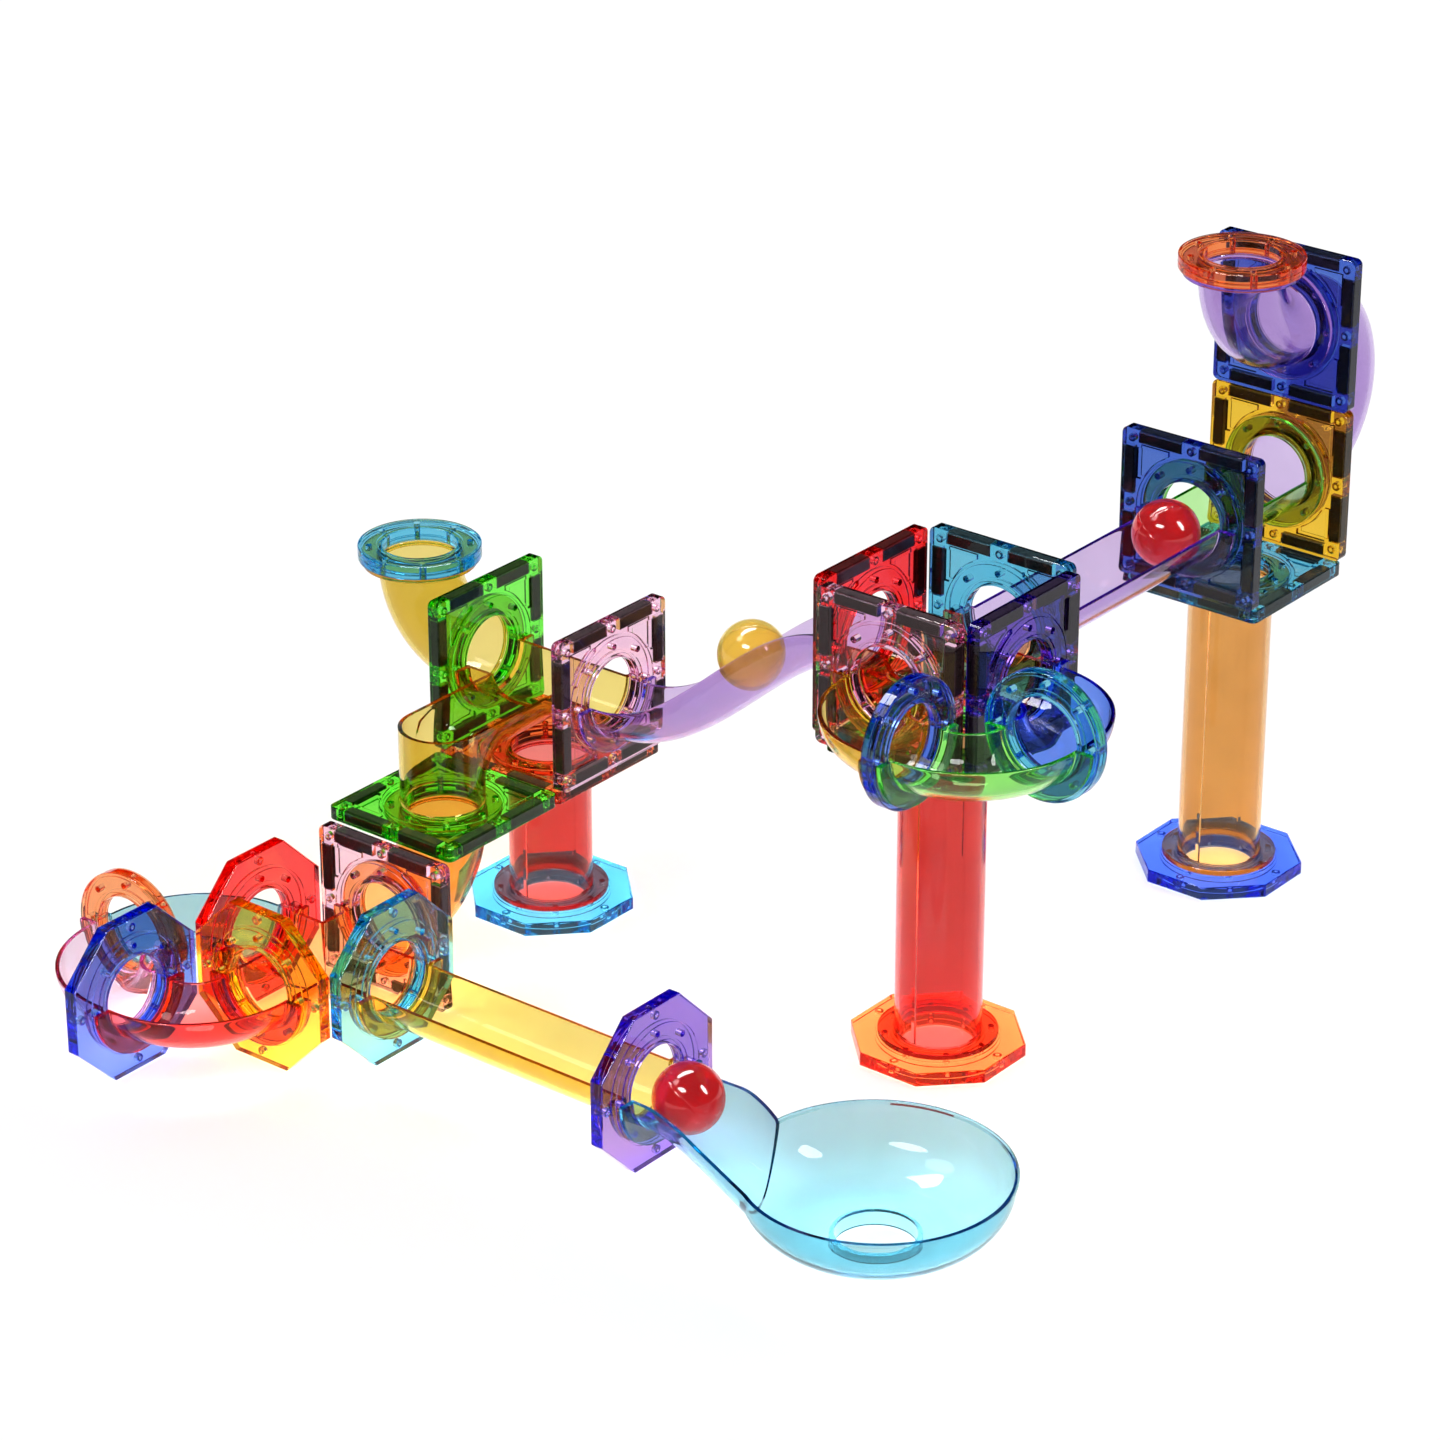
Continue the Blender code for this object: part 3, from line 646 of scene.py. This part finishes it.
def stations(run):
    """Frames along a run, each with its inner and its outer radius: flange, tube, flange."""
    start, arc, end = run
    soft = RIM * SOFT
    made = []
    flange = (
        (0, FLANGE - RIM), (soft, FLANGE - soft), (RIM, FLANGE),
        (FLANGE_DEPTH - RIM, FLANGE), (FLANGE_DEPTH - soft, FLANGE - soft), (FLANGE_DEPTH, FLANGE - RIM),
        (FLANGE_DEPTH + HAIR, TUBE + FILLET),
    )
    for distance, outer in flange:
        made.append((ahead(start, distance), BORE + max(0, RIM - distance) / 2, outer))
    made.append((ahead(arc[0], FILLET * 0.3), BORE, TUBE + FILLET * 0.3))
    made.append((ahead(arc[0], FILLET), BORE, TUBE))
    spacing = (arc[1].translation - arc[0].translation).length
    skip = math.ceil(2 * FILLET / spacing)
    made += [(at, BORE, TUBE) for at in arc[skip:-skip]]
    made.append((ahead(arc[-1], -FILLET), BORE, TUBE))
    made.append((ahead(arc[-1], -FILLET * 0.3), BORE, TUBE + FILLET * 0.3))
    for distance, outer in reversed(flange):
        made.append((ahead(end, -distance), BORE + max(0, RIM - distance) / 2, outer))
    return made


def channel_section(inner, outer):
    """Outline of an open half-pipe with rounded upper edges, as (right, up) points."""
    low_in, low_out = math.asin(LIP / inner), math.asin(LIP / outer)
    quarter = [math.radians(30 * step) for step in range(4)]
    out_x, in_x = math.sqrt(outer**2 - LIP**2) - LIP, math.sqrt(inner**2 - LIP**2) + LIP
    right = [(out_x + LIP * math.cos(t), -LIP + LIP * math.sin(t)) for t in quarter]
    right += [(in_x - LIP * math.sin(t), -LIP + LIP * math.cos(t)) for t in quarter]
    left = [(-x, z) for x, z in reversed(right)]
    half = ROUND // 2

    def arc(radius, low, steps):
        angles = [-low - (math.pi - 2 * low) * step / half for step in steps]
        return [(radius * math.cos(a), radius * math.sin(a)) for a in angles]

    return right + arc(inner, low_in, range(1, half)) + left + arc(outer, low_out, range(half - 1, 0, -1))


def add_swept_channel(bm, run_stations):
    """Adds an open half-pipe that runs along its stations."""
    loops = []
    for at, inner, outer in run_stations:
        section = channel_section(inner, outer)
        loops.append([bm.verts.new(at @ Vector((x, 0, z))) for x, z in section])
    for first, second in zip(loops, loops[1:]):
        wall(bm, first, second)
    for loop, (_, inner, outer) in ((loops[0], run_stations[0]), (loops[-1], run_stations[-1])):
        flat = [Vector((x, z, 0)) for x, z in channel_section(inner, outer)]
        for triangle in tessellate_polygon([flat]):
            bm.faces.new([loop[index] for index in triangle])


def add_swept_tube(bm, run_stations, ribs=()):
    """Adds a tube that is open at both ends, with ribs inside it at these angles in degrees."""
    loops = []
    inside = [(at, inner, bool(ribs)) for at, inner, _ in reversed(run_stations)]
    outside = [(at, outer, False) for at, _, outer in run_stations]
    for at, radius, ribbed in outside + inside:
        loop = []
        for step in range(ROUND):
            angle = 360 * step / ROUND
            near = min((abs((angle - rib + 180) % 360 - 180) for rib in ribs), default=180)
            reach = radius - (RIB_HEIGHT if ribbed and near < RIB_REACH else 0)
            turn = math.radians(angle)
            loop.append(bm.verts.new(at @ Vector((reach * math.cos(turn), 0, reach * math.sin(turn)))))
        loops.append(loop)
    for first, second in zip(loops, loops[1:] + loops[:1]):
        wall(bm, first, second)


def add_pegs(bm, face, outwards, angles):
    """Pegs that stand on a flange's face at these angles in degrees."""
    for angle in angles:
        turn = math.radians(angle)
        centre = Vector((PEG_CIRCLE * math.cos(turn), 0, PEG_CIRCLE * math.sin(turn)))
        loops = []
        shape = ((HAIR, PEG), (PEG_LENGTH - PEG_EDGE, PEG), (PEG_LENGTH, PEG - PEG_EDGE))
        for distance, radius in shape:
            offsets = circle(radius, SMALL_ROUND)
            at = centre + Vector((0, outwards * distance, 0))
            loops.append([bm.verts.new(face @ (at + Vector((x, 0, z)))) for x, z in offsets])
        skin(bm, loops)


def add_track(node_name, colour, run, place):
    bm = bmesh.new()
    add_swept_channel(bm, stations(run))
    add_pegs(bm, run[0], -1, LOWER_PEGS)
    add_pegs(bm, run[2], 1, LOWER_PEGS)
    finish_thin_piece(new_object("clear_" + node_name, bm, place), colour, node_name)


def add_tube(name, colour, run, place, ribs=(), node_names=()):
    """A tube with a flange at each end, which stands for the node of its name or for these nodes."""
    bm = bmesh.new()
    add_swept_tube(bm, stations(run), ribs)
    add_pegs(bm, run[0], -1, ALL_PEGS)
    add_pegs(bm, run[2], 1, ALL_PEGS)
    finish_thin_piece(new_object("clear_" + name, bm, place), colour, *(node_names or [name]))


def add_ringed_track(node_name, colour, run, place):
    """A half-pipe between two full flanges."""
    bm = bmesh.new()
    start, arc, end = run
    for face, inwards in ((start, 1), (end, -1)):
        soft = RIM * SOFT
        flange = (
            (0, BORE + RIM, FLANGE - RIM), (soft, BORE + soft, FLANGE - soft), (RIM, BORE, FLANGE),
            (FLANGE_DEPTH - RIM, BORE, FLANGE), (FLANGE_DEPTH, BORE + RIM, FLANGE - RIM),
        )
        rings = [(ahead(face, inwards * distance), inner, outer) for distance, inner, outer in flange]
        add_swept_tube(bm, rings)
        add_pegs(bm, face, -inwards, ALL_PEGS)
    trough = [ahead(arc[0], HAIR), *arc[1:-1], ahead(arc[-1], -HAIR)]
    add_swept_channel(bm, [(at, BORE, TUBE) for at in trough])
    finish_thin_piece(new_object("clear_" + node_name, bm, place), colour, node_name)


# Crossings, the catcher and the basin are joined from simpler solids.


def join(base, steps):
    """Applies Booleans in turn: each step is an operation and a bmesh with its place."""
    for index, (operation, bm, place) in enumerate(steps):
        helper = new_object(f"{base.name}_helper_{index}", bm, place)
        modifier = base.modifiers.new("join", "BOOLEAN")
        modifier.operation = operation
        modifier.object = helper
        graph = bpy.context.evaluated_depsgraph_get()
        mesh = bpy.data.meshes.new_from_object(base.evaluated_get(graph))
        base.modifiers.clear()
        base.data = mesh
        bpy.data.objects.remove(helper)


def rod(profile):
    """A solid turned about +Y through (y, radius) points. No edge of it lies level with its axis."""
    bm = bmesh.new()
    loops = []
    for y, radius in profile:
        loops.append([bm.verts.new((x, y, z)) for x, z in circle(radius, turned=0.5)])
    skin(bm, loops)
    return bm


def flanged_rod(reach):
    """A rod from -reach to reach with a flange at each end."""
    soft = RIM * SOFT
    root = reach - FLANGE_DEPTH
    end = [
        (reach, FLANGE - RIM), (reach - soft, FLANGE - soft), (reach - RIM, FLANGE),
        (root + RIM, FLANGE), (root, FLANGE - RIM), (root - HAIR, TUBE + FILLET), (root - FILLET, TUBE),
    ]
    return rod([(-y, radius) for y, radius in end] + [(y, radius) for y, radius in reversed(end)])


def swept_rod(frames, radius):
    bm = bmesh.new()
    loops = []
    for at in frames:
        loops.append([bm.verts.new(at @ Vector((x, 0, z))) for x, z in circle(radius, turned=0.5)])
    skin(bm, loops)
    return bm


def slab(reach, bottom, top):
    """A square block about the upright axis, to cut a piece off level."""
    bm = bmesh.new()
    corners = [(-reach, -reach), (reach, -reach), (reach, reach), (-reach, reach)]
    skin(bm, [loop_at(bm, corners, bottom), loop_at(bm, corners, top)])
    return bm


def add_crossing(node_name, colour):
    """Two half-pipes that cross level, with a flange at each of the four ends."""
    low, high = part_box(node_name)
    place = Matrix.Translation(((low.x + high.x) / 2, (low.y + high.y) / 2, high.z))
    reach = STEP - SEAT
    turn = Matrix.Rotation(math.radians(90), 4, "Z")
    obj = new_object("clear_" + node_name, flanged_rod(reach), place)
    over = reach + FLANGE_DEPTH
    join(obj, [
        ("UNION", flanged_rod(reach), place @ turn),
        ("DIFFERENCE", rod([(-over, BORE), (over, BORE)]), place),
        ("DIFFERENCE", rod([(-over, BORE), (over, BORE)]), place @ turn),
        ("DIFFERENCE", slab(PITCH, 0, PITCH), place),
    ])
    finish_thin_piece(obj, colour, node_name)


def add_catcher(node_name, colour):
    """A channel along X with a branch to -Y, whose floor curves down into a cup."""
    low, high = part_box(node_name)
    place = Matrix.Translation(((low.x + high.x) / 2, high.y - FLANGE, high.z))
    reach = PITCH / 2 - SEAT
    drop = STEP - SEAT
    turn = Matrix.Rotation(math.radians(90), 4, "Z")
    away = Matrix.Rotation(math.radians(180), 4, "Z")
    cup = place @ Matrix.Translation((0, -PITCH, 0)) @ LIE_DOWN.inverted()
    turn_radius = TUBE + CUP_FILLET
    first = ahead(Matrix.Identity(4), PITCH - turn_radius - CUP_OVERLAP)
    frames = [first, *bend(ahead(first, CUP_OVERLAP), (-1, 0, 0), turn_radius, 90, 24)]
    deep = [*frames, ahead(frames[-1], CUP_OVERLAP)]
    obj = new_object("clear_" + node_name, flanged_rod(reach), place @ turn)
    over = reach + FLANGE_DEPTH
    join(obj, [
        ("UNION", rod([(-PITCH, TUBE), (0, TUBE)]), place),
        ("UNION", swept_rod(deep, TUBE - HAIR), place @ away),
        ("UNION", rod([(-drop, TUBE), (turn_radius, TUBE)]), cup),
        ("DIFFERENCE", rod([(-over, BORE), (over, BORE)]), place @ turn),
        ("DIFFERENCE", rod([(-PITCH, BORE), (0, BORE)]), place),
        ("DIFFERENCE", swept_rod(deep, BORE - HAIR), place @ away),
        ("DIFFERENCE", rod([(-drop - CUP_FILLET, BORE), (TUBE, BORE)]), cup),
        ("DIFFERENCE", slab(2 * PITCH, 0, PITCH), place),
    ])
    finish_thin_piece(obj, colour, node_name)


def lathe(profile):
    """Turns a profile of (radius, height) points, which starts and ends on the axis, into a solid."""
    bm = bmesh.new()
    loops = []
    for radius, height in profile:
        outline = circle(radius) if radius else [(0, 0)]
        loops.append(loop_at(bm, outline, height))
    for lower, upper in zip(loops, loops[1:]):
        if len(lower) > 1 and len(upper) > 1:
            wall(bm, lower, upper)
            continue
        tip, rim = sorted((lower, upper), key=len)
        for index, vertex in enumerate(rim):
            bm.faces.new((vertex, rim[(index + 1) % len(rim)], tip[0]))
    return bm


def bowl_profile(offset, foot, top, lip=0.0):
    """Half section of the bowl, offset inwards from its outside, with a lip that stands out this far."""
    hole = TUBE - offset
    steps = 24
    side = BASIN_RIM - lip
    curve = []
    for step in range(steps + 1):
        angle = math.radians(90 * step / steps)
        radius = BOWL_FLAT + (side - BOWL_FLAT - offset) * math.sin(angle)
        height = -BOWL_EDGE - (BOWL_DEPTH - BOWL_EDGE - offset) * math.cos(angle)
        curve.append((radius, height))
    start = [(0, foot), (hole, foot), (hole, curve[0][1] - HOLE_DROP)]
    if not lip:
        return [*start, *curve, (curve[-1][0], top), (0, top)]
    return [*start, *curve, (side, LIP_BOTTOM), (side + lip, LIP_TOP), (side + lip, top), (0, top)]


def between(a, b, c, d, t):
    """The value at t, from 0 at b to 1 at c, of the smooth curve through four evenly spaced values."""
    bend_start = a - 2.5 * b + 2 * c - d / 2
    bend_end = 1.5 * (b - c) + (d - a) / 2
    return b + t * (c - a) / 2 + t**2 * bend_start + t**3 * bend_end


def smoothly(stops, steps):
    """Points on a smooth curve through all the stops, which are tuples of numbers."""
    padded = [stops[0], *stops, stops[-1]]
    points = []
    for four in zip(padded, padded[1:], padded[2:], padded[3:]):
        for step in range(steps):
            points.append([between(*values, step / steps) for values in zip(*four)])
    return [*points, list(stops[-1])]


def spout_mesh(offset, start, top):
    """The spout as a solid: a half-pipe that widens and swings to -Y to meet the bowl on a tangent."""
    edge = TUBE - offset
    bm = bmesh.new()
    rings = []
    for near_along, near_out, far_along, far_out, deeper in smoothly([(start, 0, start, 0, 0), *SPOUT], 8):
        near, far = Vector((near_along, -edge - near_out)), Vector((far_along, edge + far_out))
        middle, half = (near + far) / 2, (near - far) / 2
        points = [(*far, top)]
        for step in range(1, 48):
            angle = math.pi * step / 48
            points.append((*(middle - half * math.cos(angle)), -(edge + deeper) * math.sin(angle)))
        points.append((*near, top))
        rings.append([bm.verts.new(point) for point in points])
    skin(bm, rings)
    bmesh.ops.triangulate(bm, faces=bm.faces[:])
    return bm


def add_basin(node_name, colour):
    low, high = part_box(node_name)
    place = Matrix.Translation((low.x - SEAT, (low.y + high.y) / 2, high.z))
    bowl = place @ Matrix.Translation((BASIN_OFFSET, 0, 0))
    floor = low.z - high.z
    obj = new_object("clear_" + node_name, lathe(bowl_profile(0, floor, WALL, BOWL_LIP)), bowl)
    turn = Matrix.Rotation(math.radians(-90), 4, "Z")
    back = BEND_START
    flange = rod([(SEAT, FLANGE - RIM), (SEAT + RIM, FLANGE), (back - RIM, FLANGE), (back, FLANGE - RIM)])
    join(obj, [
        ("UNION", spout_mesh(0, SEAT + FLANGE_DEPTH / 2, WALL / 2), place),
        ("UNION", flange, place @ turn),
        ("DIFFERENCE", lathe(bowl_profile(WALL, floor - WALL, 2 * WALL)), bowl),
        ("DIFFERENCE", spout_mesh(WALL, 0, 3 * WALL), place),
        ("DIFFERENCE", slab(3 * PITCH, 0, PITCH), place),
    ])
    finish_thin_piece(obj, colour, node_name)


# Balls


def ball_mesh(radius):
    """A hollow ball of four quarters, with a fine groove where they meet."""
    bm = bmesh.new()
    fine = [math.degrees(share * SEAM_WIDTH / radius) for share in (-2.2, -1, 0, 1, 2.2)]
    upright = sorted({*range(-85, 86, 5)} - {0} | {round(angle, 4) for angle in fine})
    seams = {round(base + angle, 4) % 360 for base in (0, 180) for angle in fine}
    across = sorted({*range(5, 360, 5)} - {180} | seams)

    def reach(point):
        depth = sum(math.exp(-((point[axis] * radius / SEAM_WIDTH) ** 2)) for axis in (1, 2))
        return radius - SEAM_DEPTH * min(1, depth)

    for inner in (False, True):
        loops = []
        for latitude in upright:
            lat = math.radians(latitude)
            loop = []
            for longitude in across:
                lon = math.radians(longitude)
                point = Vector((math.cos(lat) * math.cos(lon), math.cos(lat) * math.sin(lon), math.sin(lat)))
                loop.append(bm.verts.new(point * (radius - BALL_WALL if inner else reach(point))))
            loops.append(loop)
        before = len(bm.faces)
        for lower, upper in zip(loops, loops[1:]):
            wall(bm, lower, upper)
        for side, loop in ((-1, loops[0]), (1, loops[-1])):
            point = Vector((0, 0, side))
            tip = bm.verts.new(point * (radius - BALL_WALL if inner else reach(point)))
            for index, vertex in enumerate(loop):
                bm.faces.new((vertex, loop[(index + 1) % len(loop)], tip))
        bm.faces.ensure_lookup_table()
        faces = [bm.faces[index] for index in range(before, len(bm.faces))]
        bmesh.ops.recalc_face_normals(bm, faces=faces)
        if inner:
            bmesh.ops.reverse_faces(bm, faces=faces)
    return bm


def add_ball(node_name, colour, tilt):
    """A ball that has come to rest turned by these degrees about X, Y and Z."""
    low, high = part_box(node_name)
    turn = Matrix.Rotation(math.radians(tilt[2]), 4, "Z") @ Matrix.Rotation(math.radians(tilt[0]), 4, "X")
    place = Matrix.Translation((low + high) / 2) @ turn @ Matrix.Rotation(math.radians(tilt[1]), 4, "Y")
    obj = new_object("clear_" + node_name, ball_mesh((high.z - low.z) / 2), place, hollow=True)
    finish_piece(obj, plastic(colour, "ball"), node_name, [node_name])


# The set


def add_tiles():
    ferrite = magnet_material()
    for name, colour in (
        ("tile_blue_top", "blue"), ("tile_yellow_back", "yellow"), ("tile_blue_front", "blue"),
        ("tile_cyan_floor", "cyan"), ("cube_tile_red", "red"), ("cube_tile_cyan", "cyan"),
        ("cube_tile_pink", "pink"), ("cube_tile_purple", "purple"), ("cube_tile_green_floor", "green"),
        ("tile_green_left", "green"), ("tile_pink_left", "pink"), ("tile_orange_floor", "orange"),
        ("tile_green_floor", "green"), ("tile_pink_low", "pink"),
    ):
        add_tile(name, colour, ferrite)


def add_octagons_and_rings():
    for name in ("base_blue", "base_orange", "base_cyan", "cyan", "purple", "yellow", "red", "blue"):
        colour = name.removeprefix("base_")
        add_plate("octagon_" + name, colour, octagon_outline, rivets=around(RIVET_REACH, 4))
    for name in ("orange_inlet", "cyan_inlet", "blue_loop", "cyan_loop", "orange_loop"):
        add_plate("ring_" + name, name.split("_")[0], ring_outline, seam=True)


def add_tubes():
    upright = Matrix.Rotation(math.radians(90), 4, "X")
    for name, colour in (
        ("pole_clear_orange", "clear_orange"), ("pole_red_long", "red"), ("pole_red_short", "red"),
    ):
        low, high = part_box(name)
        middle = (low + high) / 2
        place = Matrix.Translation((middle.x, middle.y, low.z - SEAT)) @ upright
        length = high.z - low.z + 2 * SEAT
        add_tube(name, colour, straight_run(length, 24), place, RIBS)
    for name, colour, direction in (
        ("elbow_lilac_inlet", "lilac", "+y"), ("elbow_yellow_inlet", "yellow", "+x"),
        ("elbow_orange_drop", "orange", "-y"),
    ):
        add_tube(name, colour, quarter_turn(LIE_DOWN, (1, 0, 0)), elbow_place(name, direction))
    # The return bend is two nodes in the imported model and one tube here.
    halves = ["return_bend_lilac_upper", "return_bend_lilac_lower"]
    place = return_place(halves[0], "+y")
    add_tube("return_bend", "lilac", return_run(), place, node_names=halves)


def add_tracks():
    for colour, direction in (("lilac", "+y"), ("yellow", "+x")):
        name = f"track_{colour}_long"
        add_track(name, colour, straight_run(2 * PITCH), straight_place(name, direction))
    green_place = straight_place("track_green_short", "+y", True)
    add_ringed_track("track_green_short", "green", straight_run(PITCH), green_place)
    add_track("track_lilac_wave", "lilac", wave_run(), straight_place("track_lilac_wave", "-x"))
    for name, direction in (
        ("yellow", "-y"), ("green", "+x"), ("blue", "+y"), ("aqua", "-x"), ("pink", "-y"), ("red", "+x"),
    ):
        run = quarter_turn(Matrix.Identity(4), (0, 0, 1))
        add_track("curve_" + name, name, run, curve_place("curve_" + name, direction))


def add_camera():
    """A long lens that looks down on the set from its front right, as in the photograph."""
    aim = (cad_box[0] + cad_box[1]) / 2 + Vector(AIM)
    turn = Matrix.Rotation(math.radians(AZIMUTH), 3, "Z") @ Matrix.Rotation(math.radians(-ELEVATION), 3, "X")
    back = turn @ Vector((0, -1, 0))
    camera = bpy.data.objects.new("camera", bpy.data.cameras.new("camera"))
    bpy.context.scene.collection.objects.link(camera)
    camera.data.sensor_width = 36
    camera.data.lens = LENS
    camera.rotation_mode = "QUATERNION"
    look = (-back).to_track_quat("-Z", "Y")
    camera.rotation_quaternion = look @ Matrix.Rotation(math.radians(-ROLL), 3, "Z").to_quaternion()
    camera.location = aim + back * DISTANCE
    camera.data.clip_end = 100
    bpy.context.scene.camera = camera


def add_floor():
    bm = bmesh.new()
    bmesh.ops.create_circle(bm, cap_ends=True, segments=64, radius=FLOOR_RADIUS)
    floor = new_object("floor", bm)
    floor.location.z = -FLOOR_BELOW
    material = bpy.data.materials.new("floor")
    material.use_nodes = True
    shader = material.node_tree.nodes["Principled BSDF"]
    shader.inputs["Base Color"].default_value = (FLOOR_WHITE, FLOOR_WHITE, FLOOR_WHITE, 1)
    shader.inputs["Roughness"].default_value = 0.9
    shader.inputs["Specular IOR Level"].default_value = 0
    floor.data.materials.append(material)
    floor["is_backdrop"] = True


def add_light(name, kind, towards, distance=0.0):
    light = bpy.data.objects.new(name, bpy.data.lights.new(name, kind))
    bpy.context.scene.collection.objects.link(light)
    towards = Vector(towards).normalized()
    light.rotation_mode = "QUATERNION"
    light.rotation_quaternion = (-towards).to_track_quat("-Z", "Y")
    light.location = towards * distance
    return light


def add_lights():
    """An even white room with a soft key light, and bright panels that show only as highlights."""
    world = bpy.data.worlds.new("studio")
    bpy.context.scene.world = world
    world.use_nodes = True
    background = world.node_tree.nodes["Background"]
    background.inputs["Color"].default_value = (1, 1, 1, 1)
    background.inputs["Strength"].default_value = ROOM
    # Polished faces reflect only the floor and the panels, so that their colours stay deep.
    world.cycles_visibility.glossy = False
    key = add_light("key", "SUN", (-0.55, -0.45, 1.0))
    key.data.energy = KEY
    key.data.angle = math.radians(20)
    for name, towards, width, height in (
        ("panel_overhead", (-0.35, 0.15, 1.0), 2.0, 0.6),
        ("panel_front", (0.1, -0.8, 0.9), 1.2, 0.5),
        ("panel_right", (1.0, 0.2, 0.8), 0.5, 1.3),
    ):
        panel = add_light(name, "AREA", towards, PANEL_DISTANCE)
        panel.data.shape = "ELLIPSE"
        panel.data.size = width
        panel.data.size_y = height
        panel.data.energy = PANEL_RADIANCE * math.pi * width * height
        panel.visible_camera = False
        panel.visible_diffuse = False
        panel.visible_transmission = False
    bpy.context.scene.view_settings.view_transform = "Standard"


def let_light_through():
    """Light crosses many clear walls before it reaches the camera, so paths may be long.

    The clear pieces cast no shadow, because the one that Cycles draws for clear plastic is far too dark.
    """
    cycles = bpy.context.scene.cycles
    cycles.max_bounces = LONGEST_PATH
    cycles.transmission_bounces = LONGEST_PATH
    cycles.glossy_bounces = LONGEST_PATH
    cycles.transparent_max_bounces = LONGEST_PATH
    # The panels are for highlights, and don't light the floor by way of the plastic.
    cycles.caustics_reflective = False
    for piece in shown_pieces():
        if piece.name.startswith("clear_"):
            piece.visible_shadow = False


add_camera()
add_tiles()
add_octagons_and_rings()
add_tubes()
add_tracks()
add_crossing("crossing_orange_high", "orange")
add_crossing("crossing_orange_low", "orange")
add_catcher("catcher_yellow", "yellow")
add_basin("basin_aqua", "aqua")
add_ball("ball_red_high", "red", (20, 30, 60))
add_ball("ball_yellow", "yellow", (15, -20, 40))
add_ball("ball_red_low", "red", (-35, 40, 20))
add_floor()
add_lights()
let_light_through()
